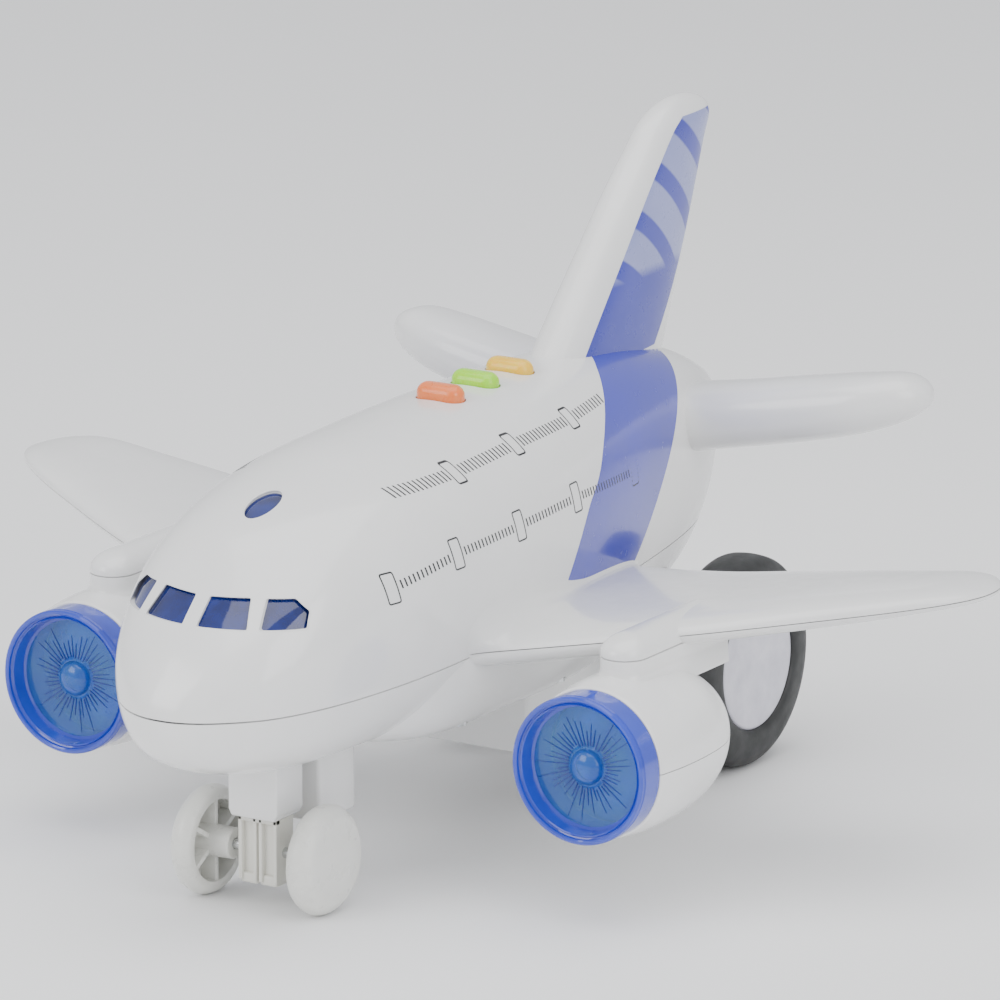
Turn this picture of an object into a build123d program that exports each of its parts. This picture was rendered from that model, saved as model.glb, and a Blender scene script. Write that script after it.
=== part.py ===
from build123d import *
import math
import os

# Toy airplane with friction drive, push buttons, lights and sound.
# Millimetres. +X is the port side, the nose points to -Y, +Z is up, and the wheels stand on z = 0.

# ---------------------------------------------------------------- driving dimensions
WALL = 1.8                    # moulded shell thickness
GAP = 0.1                     # clearance between pieces that are only fitted together
SEAM_Z = 63.3                 # height of the seam between the upper and lower shells
HALF_LENGTH = 141.2           # the fuselage runs this far each way from y = 0
FULLNESS = 0.64               # bulge of the fuselage section, 0.55 would be an ellipse

# fuselage from nose to tail: y, half width, bottom, height of widest point, top
FUSELAGE = [
    (-141.2, 0.0, 60.0, 60.0, 60.0),
    (-139.0, 9.0, 53.0, 62.0, 69.4),
    (-134.4, 15.8, 49.6, 65.0, 76.4),
    (-123.0, 26.0, 44.8, 70.6, 89.4),
    (-100.0, 34.6, 40.4, 78.4, 107.6),
    (-66.0, 39.3, 39.0, 84.0, 117.8),
    (-22.0, 38.2, 37.0, 86.4, 121.6),
    (26.0, 33.8, 36.6, 87.0, 123.3),
    (72.0, 25.9, 38.8, 87.6, 122.6),
    (106.0, 18.6, 46.6, 89.0, 116.4),
    (126.0, 12.4, 58.0, 90.5, 108.8),
    (137.0, 6.8, 71.0, 91.5, 101.4),
    (141.2, 0.0, 88.0, 88.0, 88.0),
]
FUSELAGE_SECTIONS = 15
# wing-root fairing under the seam: y, half width, bottom
FAIRING = [(-66.0, 28.0, 40.8), (-50.0, 35.4, 38.2), (-20.0, 35.6, 37.0), (30.0, 33.0, 36.6),
           (62.0, 24.0, 39.0)]
FAIRING_FULLNESS = 0.86
# wing from root to tip: x, leading edge y, trailing edge y, underside z, top z
WING = [
    (18.0, -50.0, 62.0, 54.8, 69.2),
    (36.0, -44.0, 60.0, 57.0, 69.8),
    (60.0, -35.5, 56.0, 61.2, 72.4),
    (90.0, -23.5, 51.5, 67.2, 77.2),
    (123.0, -6.5, 48.0, 73.4, 82.2),
    (147.0, 8.6, 45.5, 78.4, 84.4),
    (158.0, 27.0, 27.0, 82.0, 82.0),
]
WING_SECTIONS = 10
WING_SEAM = ((36.0, 64.2), (150.0, 81.2))   # x and z of two points on the wing's underside seam
# stabiliser: x, leading edge y, trailing edge y, underside z, top z
STABILISER = [
    (8.0, 96.0, 127.0, 84.8, 105.0),
    (30.0, 97.0, 127.5, 89.2, 108.2),
    (50.0, 98.0, 128.0, 93.2, 111.8),
    (70.0, 100.0, 128.0, 98.0, 115.0),
    (82.0, 105.0, 126.0, 102.4, 115.6),
    (89.2, 115.5, 115.5, 109.5, 109.5),
]
STABILISER_SECTIONS = 6
# fin: z, front y, rear y, half thickness
FIN = [
    (108.0, 36.0, 111.0, 9.2),
    (124.0, 51.2, 117.8, 8.6),
    (150.0, 75.8, 129.0, 7.4),
    (172.0, 98.2, 137.2, 6.2),
    (181.0, 107.8, 140.2, 5.0),
    (186.2, 125.0, 125.0, 0.0),
]
FIN_SECTIONS = 7
FIN_TAB_YS = (80.0, 104.0)
FIN_TAB_SIZE = (9.0, 2.4)
STABILISER_TAB = (100.0, 112.0, 95.0, 99.2)   # y from, y to, z from, z to
STABILISER_TAB_REACH = 12.0                   # x of its inner end

# cockpit window corners on the port side: x, z
WINDOWS = [
    [(2.0, 85.8), (16.4, 86.0), (13.7, 93.4), (2.0, 92.9)],
    [(18.9, 86.0), (28.4, 85.8), (27.6, 90.2), (23.8, 93.4), (17.2, 93.4)],
]
TOP_WINDOW_Y = -90.4
TOP_WINDOW_HALF = (4.5, 7.0)
COCKPIT_GLAZING_ZS = (84.6, 94.8)
COCKPIT_GLAZING_HALF_WIDTH = 29.4
GLAZING_INSET = WALL + GAP
GLAZING_THICKNESS = 1.2

ENGINE_X = 83.2
ENGINE_Z = 43.7
# nacelle from its front edge back: y, outer radius
NACELLE = [(-56.8, 20.9), (-47.0, 21.9), (-34.0, 21.7), (-21.6, 19.9), (-11.0, 15.2), (-3.4, 8.4)]
LENS_FRONT_Y = -65.8
LENS_RADIUS = 20.5
LENS_PLUG_RADIUS = 19.0
LENS_PLUG_LENGTH = 6.0
LENS_WALL = 1.5
REFLECTOR_Y = -50.4
LED_RADIUS = 2.5
PYLON_HALF_WIDTH = 6.7
PYLON_FRONT_Y = -47.9
PYLON_SEAM_Z = 70.0
PYLON_CENTRE_Y = -22.0
PYLON_CAP_HEIGHT = 5.9
PYLON_CAP_ROUNDING = 5.0

BUTTON_YS = {"orange": -2.0, "green": 16.0, "yellow": 34.0}
BUTTON_LENGTH = 14.5
BUTTON_WIDTH = 7.0
BUTTON_TOP_Z = 126.6
BUTTON_FLANGE_Z = 118.2                       # top of the flange that keeps a button in
BUTTON_FLANGE_THICKNESS = 1.4
BUTTON_FLANGE_MARGIN = 1.5
BUTTON_CLEARANCE = 0.35
BUTTON_BOARD_Z = 109.6
BOARD_THICKNESS = 1.6
DOME_TOP_Z = 115.1
PAD_THICKNESS = 1.2
BUTTON_POST_YS = (7.0, 25.0)

REAR_WHEEL_RADIUS = 30.8
REAR_WHEEL_Y = 93.8
TYRE_INNER_X, TYRE_OUTER_X = 31.0, 47.0
REAR_AXLE_END_X = TYRE_OUTER_X - 4
HUB_RADIUS = 19.4
NOSE_WHEEL_RADIUS = 15.2
NOSE_WHEEL_Y = -90.4
NOSE_WHEEL_INNER_X, NOSE_WHEEL_OUTER_X = 15.3, 23.3
NOSE_WHEEL_SHOULDER = 12.6                    # radius where the tread starts to curve
NOSE_WHEEL_BOSS_RADIUS = 4.6
NOSE_WHEEL_BOSS_X = 9.8                       # the boss reaches in to here

AXLE_RADIUS = 1.5
BEARING_RADIUS = 1.56
PIN_RADIUS = 1.0
PIN_BEARING_RADIUS = 1.05

MODULE = 0.6
AXLE_TEETH = 22
PINION_TEETH = 10
REDUCTION_TEETH = 24
REDUCTION_SHAFT = (87.4, 38.1)                # y, z
FLYWHEEL_SHAFT = (77.3, 40.1)                 # y, z
FLYWHEEL_RADIUS = 8.2
GEARBOX = (67.6, 104.0, 21.2, 50.5)           # y from, y to, z from, z to, outside
GEARBOX_HALF_WIDTH = 14.0
GEARBOX_WALL = 1.2
FIRST_STAGE_X = (-11.0, -5.4)                 # axle gear and the reduction gear's pinion
SECOND_STAGE_X = (-4.6, -0.6)                 # reduction gear and the flywheel's pinion
FLYWHEEL_X = (1.0, 10.0)

CELL_RADIUS = 7.25                            # AA cells
CELL_LENGTH = 50.5
CELL_Z = 32.4
CELL_START_Y = 5.4
BATTERY_BAY = (2.0, 66.0, 22.7, 42.5)         # y from, y to, z from, z to, outside
BATTERY_HALF_WIDTH = 25.8
CELL_SPACE = (4.6, 58.6, 24.4, 41.0)          # y from, y to, z from, z to, inside
CELL_SPACE_HALF_WIDTH = 22.3
DOOR_THICKNESS = 1.6
DOOR_SCREW_Y = 62.2
DOOR_SCREW_RECESS = 0.7
MOTOR_BAY = (65.9, 106.0, 19.4, 50.0)         # y from, y to, z from, z to, outside
MOTOR_BAY_HALF_WIDTH = 16.0

SPEAKER_Y = -34.0
SPEAKER_RADIUS = 15.0
SPEAKER_Z = 40.6
MAIN_BOARD = (18.0, 10.0, 54.0, 46.0)         # half width, y from, y to, underside z
MAIN_BOARD_SCREWS = [(-15, 13), (-15, 51), (15, 13), (15, 51)]
BUTTON_BOARD = (8.0, -8.0, 40.0)              # half width, y from, y to
# screws that join the two shells: x, y, z of the head's underside
SHELL_SCREWS = [(0, -106, 43.6), (28, -38, 43.4), (-28, -38, 43.4), (27.4, 14, 43.4),
                (-27.4, 14, 43.4), (0, 116, 54.6)]
SCREW_HEAD_RADIUS = 2.6
SCREW_HEAD_HEIGHT = 1.6
SCREW_RADIUS = 1.3
SCREW_CORE_RADIUS = 1.0                       # solid under the thread, and the post's pilot hole
SMALL_SCREW_HEAD_RADIUS = 1.5                 # screws of the circuit boards
SMALL_SCREW_HEAD_HEIGHT = 1.2
SMALL_SCREW_CORE_RADIUS = 0.7
SMALL_SCREW_HOLE_RADIUS = 0.9
POST_RADIUS = 3.2
POST_ROOT_RADIUS = 4.0                        # lower posts, round the heads' recesses
BOARD_POST_RADIUS = 2.2
POST_JOINT_RISE = 7.0                         # from the screw head's underside to the upper post

NOSE_HOUSING = (7.9, 6.5, 25.2, 46.0)         # half width, half depth, z from, z to
NOSE_LEG = (6.2, 4.2, 6.0)                    # half width, half depth, bottom z
NOSE_PLUG = (4.6, 3.0, 38.0)                  # half width, half depth, top z
STOP_BLOCK = (8.0, -76.0, -58.0, 19.8)        # half width, y from, y to, bottom z


# ---------------------------------------------------------------- outlines and helper solids
def smooth_row(table, parameter, value):
    """The table's row at `value` of its first column, smooth in `parameter` of that column."""
    knots = [parameter(row[0]) for row in table]
    target = parameter(value)
    index = max(i for i in range(len(knots) - 1) if knots[i] <= target + 1e-9)

    def tangent(i, column):
        before, after = max(i - 1, 0), min(i + 1, len(knots) - 1)
        return (table[after][column] - table[before][column]) / (knots[after] - knots[before])

    span = knots[index + 1] - knots[index]
    t = (target - knots[index]) / span
    row = [value]
    for column in range(1, len(table[0])):
        start, end = table[index][column], table[index + 1][column]
        row.append((2 * t ** 3 - 3 * t ** 2 + 1) * start + (3 * t ** 2 - 2 * t ** 3) * end
                   + (t ** 3 - 2 * t ** 2 + t) * span * tangent(index, column)
                   + (t ** 3 - t ** 2) * span * tangent(index + 1, column))
    return row


def rounded_ends_rows(table, count):
    """`count` rows between a table's two rounded ends, closer together towards them."""
    half = (table[-1][0] - table[0][0]) / 2
    middle = (table[-1][0] + table[0][0]) / 2

    def parameter(place):
        return math.acos(max(-1.0, min(1.0, (middle - place) / half)))

    angles = [math.pi * (0.028 + 0.944 * i / (count - 1)) for i in range(count)]
    return [smooth_row(table, parameter, middle - half * math.cos(angle)) for angle in angles]


def rounded_tip_rows(table, count):
    """`count` rows from a table's open root to its rounded tip, closer together at the tip."""
    root, tip = table[0][0], table[-1][0]

    def parameter(place):
        return 1 - math.sqrt(max(0.0, (tip - place) / (tip - root)))

    steps = [0.94 * i / (count - 1) for i in range(count)]
    return [smooth_row(table, parameter, tip - (tip - root) * (1 - s) ** 2) for s in steps]


def egg(front, rear, low, high, centre, fullness=FULLNESS, middle=None):
    """Closed outline in four Bezier quarters: from `front` to `rear` across, `low` to `high` up.

    `centre` is where it is highest and lowest, `middle` the height of its two ends."""
    if middle is None:
        middle = (low + high) / 2
    corners = [(rear, middle), (centre, high), (front, middle), (centre, low)]
    for index, (x0, y0) in enumerate(corners):
        x1, y1 = corners[(index + 1) % 4]
        if index % 2 == 0:
            controls = (x0, y0 + fullness * (y1 - y0)), (x1 + fullness * (x0 - x1), y1)
        else:
            controls = (x0 + fullness * (x1 - x0), y0), (x1, y1 + fullness * (y0 - y1))
        Bezier((x0, y0), *controls, (x1, y1))


def fuselage_body(inset):
    """The fuselage as one solid, shrunk by `inset`."""
    with BuildPart() as body:
        for y, half_width, low, widest, high in rounded_ends_rows(FUSELAGE, FUSELAGE_SECTIONS):
            if inset and half_width < inset + 3:
                continue
            with BuildSketch(Plane.XZ.offset(-y * (1 - inset / HALF_LENGTH))):
                with BuildLine():
                    egg(-half_width + inset, half_width - inset, low + inset, high - inset, 0,
                        middle=widest)
                make_face()
        loft()
    return body.part


def fairing_body(inset):
    """The rounded box under the wing roots, shrunk by `inset`."""
    with BuildPart() as body:
        for y, half_width, low in FAIRING:
            with BuildSketch(Plane.XZ.offset(-y)):
                with BuildLine():
                    egg(-half_width + inset, half_width - inset, low + inset, 90 - inset, 0,
                        FAIRING_FULLNESS, 64)
                make_face()
        loft()
    return body.part


def plank_body(rows, inset, crest=0.36):
    """A wing-like solid through sections along +X; `crest` places its thickest line."""
    with BuildPart() as body:
        for x, front, rear, low, high in rows:
            if inset and high - low < 2 * inset + 1.2:
                continue
            with BuildSketch(Plane.YZ.offset(x)):
                with BuildLine():
                    egg(front + inset * 1.5, rear - inset * 2, low + inset, high - inset,
                        front + crest * (rear - front))
                make_face()
        loft()
    return body.part


def fin_body(inset):
    """The tail fin as one solid through sections along +Z, shrunk by `inset`."""
    with BuildPart() as body:
        for z, front, rear, half_thickness in rounded_tip_rows(FIN, FIN_SECTIONS):
            if inset and half_thickness < inset + 1.5:
                continue
            with BuildSketch(Plane.XY.offset(z)):
                with BuildLine():
                    egg(-half_thickness + inset, half_thickness - inset, front + inset * 1.5,
                        rear - inset * 2, 0, middle=front + 0.3 * (rear - front))
                make_face()
        loft()
    return body.part


def seam_plane():
    """Tilted plane of the port wing's underside seam."""
    (x0, z0), (x1, z1) = WING_SEAM
    slope = math.atan2(z1 - z0, x1 - x0)
    return Plane(origin=(x0, 0, z0), x_dir=(math.cos(slope), 0, math.sin(slope)),
                 z_dir=(-math.sin(slope), 0, math.cos(slope)))


def block(x0, x1, y0, y1, z0, z1):
    """A box between two corners, made to be added or cut by a part."""
    box = Box(x1 - x0, y1 - y0, z1 - z0, mode=Mode.PRIVATE)
    return Pos((x0 + x1) / 2, (y0 + y1) / 2, (z0 + z1) / 2) * box


def rod(radius, x0, x1, y, z):
    """A cylinder along X."""
    return Pos((x0 + x1) / 2, y, z) * Rot(0, 90, 0) * Cylinder(radius, x1 - x0, mode=Mode.PRIVATE)


def post(radius, x, y, z0, z1):
    """A cylinder along Z."""
    return Pos(x, y, (z0 + z1) / 2) * Cylinder(radius, z1 - z0, mode=Mode.PRIVATE)


def engine_plane():
    """Plane through the port engine's axis: its own x runs along +Y, its own y outward."""
    return Plane(origin=(ENGINE_X, 0, ENGINE_Z), x_dir=(0, 1, 0), z_dir=(0, 0, 1))


def wheel_plane(y, z):
    """Plane through a wheel axis at (y, z): its own x runs along +X, its own y outward."""
    return Plane(origin=(0, y, z), x_dir=(1, 0, 0), z_dir=(0, 0, 1))


def gear_plane(x, shaft):
    """Plane across X at `x`, centred on a shaft given as (y, z)."""
    return Plane(origin=(x, *shaft), x_dir=(0, 1, 0), z_dir=(1, 0, 0))


def gear_outline(teeth, phase):
    """Spur gear outline with straight flanks and some backlash; a tooth lies at `phase`."""
    pitch_radius = MODULE * teeth / 2
    tip, root = pitch_radius + 0.75 * MODULE, pitch_radius - 1.25 * MODULE
    pitch_angle = 2 * math.pi / teeth
    points = []
    for tooth in range(teeth):
        for radius, width in ((root, -0.31), (tip, -0.11), (tip, 0.11), (root, 0.31)):
            angle = phase + (tooth + width) * pitch_angle
            points.append((radius * math.cos(angle), radius * math.sin(angle)))
    Polyline(*points, close=True)


def finish(part, name):
    """Label a finished piece and write its file."""
    part.label = name
    export_step(part, f"parts/{name}.step")


def finish_pair(part, name):
    """Write a port piece and its mirror image on the starboard side."""
    finish(part, f"{name}_port")
    finish(mirror(part, about=Plane.YZ), f"{name}_starboard")


os.makedirs("parts", exist_ok=True)
fuselage_outer = fuselage_body(0)
fuselage_inner = fuselage_body(WALL)
wing_rows = rounded_tip_rows(WING, WING_SECTIONS)
wing_outer = plank_body(wing_rows, 0)
wing_inner = plank_body(wing_rows, WALL)
fairing_outer = fairing_body(0)
fairing_inner = fairing_body(WALL)

# ---------------------------------------------------------------- upper shell with the wings' tops
with BuildPart() as pylon_cap:
    with BuildSketch(Plane.XY.offset(PYLON_SEAM_Z)):
        with Locations((ENGINE_X, PYLON_CENTRE_Y)):
            SlotOverall(2 * (PYLON_CENTRE_Y - PYLON_FRONT_Y), 2 * PYLON_HALF_WIDTH, rotation=90)
    extrude(amount=PYLON_CAP_HEIGHT)
    fillet(pylon_cap.edges().group_by(Axis.Z)[-1], radius=PYLON_CAP_ROUNDING)

with BuildPart() as port_wing_top:
    add(wing_outer)
    split(bisect_by=seam_plane(), keep=Keep.TOP)
    add(pylon_cap.part)
    add(wing_inner, mode=Mode.SUBTRACT)

with BuildPart() as shell_hollow:
    add(fuselage_inner)
    add(fairing_inner)

with BuildPart() as wall_middle:
    add(fuselage_body(WALL / 2))
    add(fairing_body(WALL / 2))

# posts under the seam start halfway through the wall, so they follow its slope
with BuildPart() as lower_posts:
    for x, y, head_z in SHELL_SCREWS:
        add(post(POST_ROOT_RADIUS, x, y, head_z - 5, head_z + POST_JOINT_RISE - GAP))
    add(wall_middle.part, mode=Mode.INTERSECT)

with BuildPart() as shell_posts:
    for x, y, head_z in SHELL_SCREWS:
        add(post(POST_RADIUS, x, y, head_z + POST_JOINT_RISE, 120))
    for y in BUTTON_POST_YS:
        add(post(2.0, 0, y, BUTTON_BOARD_Z + BOARD_THICKNESS + GAP, 122))
    add(shell_hollow.part, mode=Mode.INTERSECT)

with BuildPart() as upper_shell:
    add(fuselage_outer)
    split(bisect_by=Plane.XY.offset(SEAM_Z), keep=Keep.TOP)
    add(port_wing_top.part)
    add(mirror(port_wing_top.part, about=Plane.YZ))
    add(fuselage_inner, mode=Mode.SUBTRACT)
    for corners in WINDOWS:
        for side in (1, -1):
            with BuildSketch(Plane.XZ.offset(150)):
                with BuildLine():
                    Polyline(*[(side * x, z) for x, z in corners], close=True)
                make_face()
            extrude(amount=-60, mode=Mode.SUBTRACT)
    with BuildSketch(Plane.XY.offset(130)):
        with Locations((0, TOP_WINDOW_Y)):
            Ellipse(*TOP_WINDOW_HALF)
    extrude(amount=-30, mode=Mode.SUBTRACT)
    with BuildSketch(Plane.XY.offset(130)):
        with Locations(*[(0, y) for y in BUTTON_YS.values()]):
            SlotOverall(BUTTON_LENGTH + 2 * BUTTON_CLEARANCE, BUTTON_WIDTH + 2 * BUTTON_CLEARANCE)
    extrude(amount=-15, mode=Mode.SUBTRACT)
    for y in FIN_TAB_YS:
        width, depth = FIN_TAB_SIZE
        add(block(-width / 2 - GAP, width / 2 + GAP, y - depth / 2 - GAP, y + depth / 2 + GAP, 100, 126),
            mode=Mode.SUBTRACT)
    y0, y1, z0, z1 = STABILISER_TAB
    add(block(-30, 30, y0 - GAP, y1 + GAP, z0 - GAP, z1 + GAP), mode=Mode.SUBTRACT)
    add(shell_posts.part)
    for x, y, head_z in SHELL_SCREWS:
        joint_z = head_z + POST_JOINT_RISE
        add(post(SCREW_CORE_RADIUS, x, y, joint_z - 1, joint_z + 8), mode=Mode.SUBTRACT)
    for y in BUTTON_POST_YS:
        add(post(SMALL_SCREW_CORE_RADIUS, 0, y, BUTTON_BOARD_Z, BUTTON_BOARD_Z + 7), mode=Mode.SUBTRACT)
finish(upper_shell.part, "upper_shell")

# ---------------------------------------------------------------- lower shell
with BuildPart() as fairing:
    add(fairing_outer)
    split(bisect_by=Plane.XY.offset(SEAM_Z), keep=Keep.BOTTOM)
    add(wing_outer, mode=Mode.SUBTRACT)
    add(mirror(wing_outer, about=Plane.YZ), mode=Mode.SUBTRACT)

with BuildPart() as lower_shell:
    add(fuselage_outer)
    split(bisect_by=Plane.XY.offset(SEAM_Z), keep=Keep.BOTTOM)
    add(fairing.part)
    half_width, half_depth, z0, z1 = NOSE_HOUSING
    add(block(-half_width, half_width, NOSE_WHEEL_Y - half_depth, NOSE_WHEEL_Y + half_depth, z0, z1))
    stop_half, y0, y1, z0 = STOP_BLOCK
    add(block(-stop_half, stop_half, y0, y1, z0, 46))
    add(fuselage_inner, mode=Mode.SUBTRACT)
    add(fairing_inner, mode=Mode.SUBTRACT)
    add(block(-stop_half + WALL, stop_half - WALL, y0 + WALL, y1 - WALL, z0 + WALL, 60),
        mode=Mode.SUBTRACT)
    # battery bay, open at the bottom for its door
    y0, y1, z0, z1 = BATTERY_BAY
    add(block(-BATTERY_HALF_WIDTH, BATTERY_HALF_WIDTH, y0, y1, z0, z1))
    inside = CELL_SPACE_HALF_WIDTH
    add(block(-inside, inside, *CELL_SPACE), mode=Mode.SUBTRACT)
    add(block(-inside - 1.7, inside + 1.7, y0 + WALL, y1 - 0.9, z0 - 1, CELL_SPACE[2]),
        mode=Mode.SUBTRACT)
    add(post(SCREW_CORE_RADIUS, 0, DOOR_SCREW_Y, z0, z0 + 11), mode=Mode.SUBTRACT)
    # motor bay, open at the top
    y0, y1, z0, z1 = MOTOR_BAY
    bay = MOTOR_BAY_HALF_WIDTH
    add(block(-bay, bay, y0, y1, z0, z1))
    add(block(-bay + WALL, bay - WALL, y0 + 1.5, y1 - WALL, z0 + 1.6, 70), mode=Mode.SUBTRACT)
    add(rod(AXLE_RADIUS + 0.5, -20, 20, REAR_WHEEL_Y, REAR_WHEEL_RADIUS), mode=Mode.SUBTRACT)
    # seat ring and grille of the speaker
    add(post(SPEAKER_RADIUS + 1.4, 0, SPEAKER_Y, 38, SPEAKER_Z + 3))
    add(post(SPEAKER_RADIUS + GAP, 0, SPEAKER_Y, SPEAKER_Z, SPEAKER_Z + 4), mode=Mode.SUBTRACT)
    add(post(SPEAKER_RADIUS - 1.6, 0, SPEAKER_Y, 38.9, SPEAKER_Z + 4), mode=Mode.SUBTRACT)
    with BuildSketch(Plane.XY.offset(30)):
        with Locations((0, SPEAKER_Y)):
            Circle(1.1)
            with PolarLocations(4.4, 6):
                Circle(1.1)
            with PolarLocations(8.8, 12):
                Circle(1.1)
    extrude(amount=10.5, mode=Mode.SUBTRACT)
    # posts of the main board, on the battery bay's roof
    for x, y in MAIN_BOARD_SCREWS:
        add(post(BOARD_POST_RADIUS, x, y, BATTERY_BAY[3], MAIN_BOARD[3]))
        add(post(SMALL_SCREW_CORE_RADIUS, x, y, BATTERY_BAY[3] + 0.2, MAIN_BOARD[3] + 1),
            mode=Mode.SUBTRACT)
    # sockets and posts for the shell screws
    add(lower_posts.part)
    for x, y, head_z in SHELL_SCREWS:
        add(post(SCREW_HEAD_RADIUS + 0.3, x, y, 15, head_z), mode=Mode.SUBTRACT)
        add(post(SCREW_RADIUS + 0.2, x, y, 15, head_z + POST_JOINT_RISE + 1.5), mode=Mode.SUBTRACT)
    # socket that holds the nose leg
    plug_half, plug_depth, plug_top = NOSE_PLUG
    add(block(-plug_half - GAP, plug_half + GAP, NOSE_WHEEL_Y - plug_depth - GAP,
              NOSE_WHEEL_Y + plug_depth + GAP, 20, plug_top + GAP), mode=Mode.SUBTRACT)
finish(lower_shell.part, "lower_shell")

# ---------------------------------------------------------------- wing undersides
with BuildPart() as wing_underside:
    add(wing_outer)
    split(bisect_by=seam_plane(), keep=Keep.BOTTOM)
    for cutter in (wing_inner, fuselage_outer, fairing_outer, pylon_cap.part):
        add(cutter, mode=Mode.SUBTRACT)
finish_pair(wing_underside.part, "wing_underside")

# ---------------------------------------------------------------- tail
fin_outer = fin_body(0)
fin_inner = fin_body(WALL)
# a rib across the fin's hollow above each tab
with BuildPart() as fin_ribs:
    for y in FIN_TAB_YS:
        width, depth = FIN_TAB_SIZE
        add(block(-width / 2 - 2, width / 2 + 2, y - depth / 2, y + depth / 2, 124.5, 140))
        add(block(-width / 2, width / 2, y - depth / 2, y + depth / 2, 110, 125))
    add(fin_body(WALL / 2), mode=Mode.INTERSECT)

with BuildPart() as tail_fin:
    add(fin_outer)
    add(fuselage_outer, mode=Mode.SUBTRACT)
    add(fin_inner, mode=Mode.SUBTRACT)
    add(fin_ribs.part)
finish(tail_fin.part, "tail_fin")

stabiliser_rows = rounded_tip_rows(STABILISER, STABILISER_SECTIONS)
with BuildPart() as stabiliser:
    add(plank_body(stabiliser_rows, 0, 0.4))
    add(plank_body(stabiliser_rows, WALL, 0.4), mode=Mode.SUBTRACT)
    add(fuselage_outer, mode=Mode.SUBTRACT)
    y0, y1, z0, z1 = STABILISER_TAB
    add(block(STABILISER_TAB_REACH, 34, y0, y1, z0, z1))
finish_pair(stabiliser.part, "stabiliser")

# ---------------------------------------------------------------- windows
def glazing(y0, y1, z0, z1, half_width):
    """A strip of clear plastic that lies against the inside of the upper shell."""
    with BuildPart() as strip:
        add(fuselage_body(GLAZING_INSET))
        add(fuselage_body(GLAZING_INSET + GLAZING_THICKNESS), mode=Mode.SUBTRACT)
        add(block(-half_width, half_width, y0, y1, z0, z1), mode=Mode.INTERSECT)
    return strip.part


finish(glazing(-142, -100, *COCKPIT_GLAZING_ZS, COCKPIT_GLAZING_HALF_WIDTH), "cockpit_window")
top_half_x, top_half_y = TOP_WINDOW_HALF
finish(glazing(TOP_WINDOW_Y - top_half_y - 2, TOP_WINDOW_Y + top_half_y + 2, 100, 125, top_half_x + 2),
       "top_window")

with BuildPart() as cabin_led:
    add(post(LED_RADIUS, 0, TOP_WINDOW_Y + 1, 94, 100))
    fillet(cabin_led.edges().group_by(Axis.Z)[-1], radius=2.4)
    add(post(LED_RADIUS + 0.4, 0, TOP_WINDOW_Y + 1, 93, 94))
finish(cabin_led.part, "cabin_led")

# ---------------------------------------------------------------- engines
def nacelle_solid(inset):
    """The nacelle turned about its own axis, shrunk by `inset`."""
    profile = [(y + (0 if index == 0 else -inset * index / 5), radius - inset)
               for index, (y, radius) in enumerate(NACELLE)]
    with BuildPart() as body:
        with BuildSketch(engine_plane()):
            with BuildLine():
                Spline(*profile)
                Polyline(profile[-1], (profile[-1][0], 0), (profile[0][0], 0), profile[0])
            make_face()
        revolve(axis=Axis((ENGINE_X, 0, ENGINE_Z), (0, 1, 0)))
    return body.part


nacelle_outer = nacelle_solid(0)
nacelle_inner = nacelle_solid(WALL)

with BuildPart() as pylon:
    with BuildSketch(Plane.YZ.offset(ENGINE_X - PYLON_HALF_WIDTH)):
        with BuildLine():
            Polyline((PYLON_FRONT_Y, 58), (PYLON_FRONT_Y, PYLON_SEAM_Z - GAP), (12, PYLON_SEAM_Z - GAP),
                     (9, 67.5), (0.5, 57), (-8, 55), close=True)
        make_face()
    extrude(amount=2 * PYLON_HALF_WIDTH)
    fillet(pylon.edges().filter_by(Axis.Z).group_by(Axis.Y)[0], radius=PYLON_HALF_WIDTH - 0.1)
    add(wing_outer, mode=Mode.SUBTRACT)

with BuildPart() as nacelle_upper:
    add(nacelle_outer)
    add(pylon.part)
    add(nacelle_inner, mode=Mode.SUBTRACT)
    split(bisect_by=Plane.XY.offset(ENGINE_Z), keep=Keep.TOP)
finish_pair(nacelle_upper.part, "nacelle_upper")

with BuildPart() as nacelle_lower:
    add(nacelle_outer)
    add(nacelle_inner, mode=Mode.SUBTRACT)
    split(bisect_by=Plane.XY.offset(ENGINE_Z), keep=Keep.BOTTOM)
finish_pair(nacelle_lower.part, "nacelle_lower")

lens_back_y = NACELLE[0][0]
with BuildPart() as fan_cover:
    with BuildSketch(engine_plane()):
        with BuildLine():
            Polyline(
                (LENS_FRONT_Y, LENS_RADIUS), (lens_back_y - GAP, LENS_RADIUS),
                (lens_back_y - GAP, LENS_PLUG_RADIUS), (lens_back_y + LENS_PLUG_LENGTH, LENS_PLUG_RADIUS),
                (lens_back_y + LENS_PLUG_LENGTH, LENS_PLUG_RADIUS - LENS_WALL),
                (-58.2, LENS_PLUG_RADIUS - LENS_WALL), (-57.6, 5.2), (-59.0, 4.0), (-60.0, 0),
                (-61.8, 0), (-61.2, 3.0), (-59.6, 5.0), (-59.8, LENS_PLUG_RADIUS - 1.2),
                (LENS_FRONT_Y, LENS_RADIUS - 2.0), close=True)
        make_face()
    revolve(axis=Axis((ENGINE_X, 0, ENGINE_Z), (0, 1, 0)))
finish_pair(fan_cover.part, "fan_cover")

with BuildPart() as reflector:
    with BuildSketch(engine_plane()):
        with BuildLine():
            Polyline((REFLECTOR_Y, 17.3), (REFLECTOR_Y + 0.4, 17.3), (REFLECTOR_Y + 2.4, 3.0),
                     (REFLECTOR_Y + 2.0, 3.0), close=True)
        make_face()
    revolve(axis=Axis((ENGINE_X, 0, ENGINE_Z), (0, 1, 0)))
finish_pair(reflector.part, "reflector")

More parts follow.
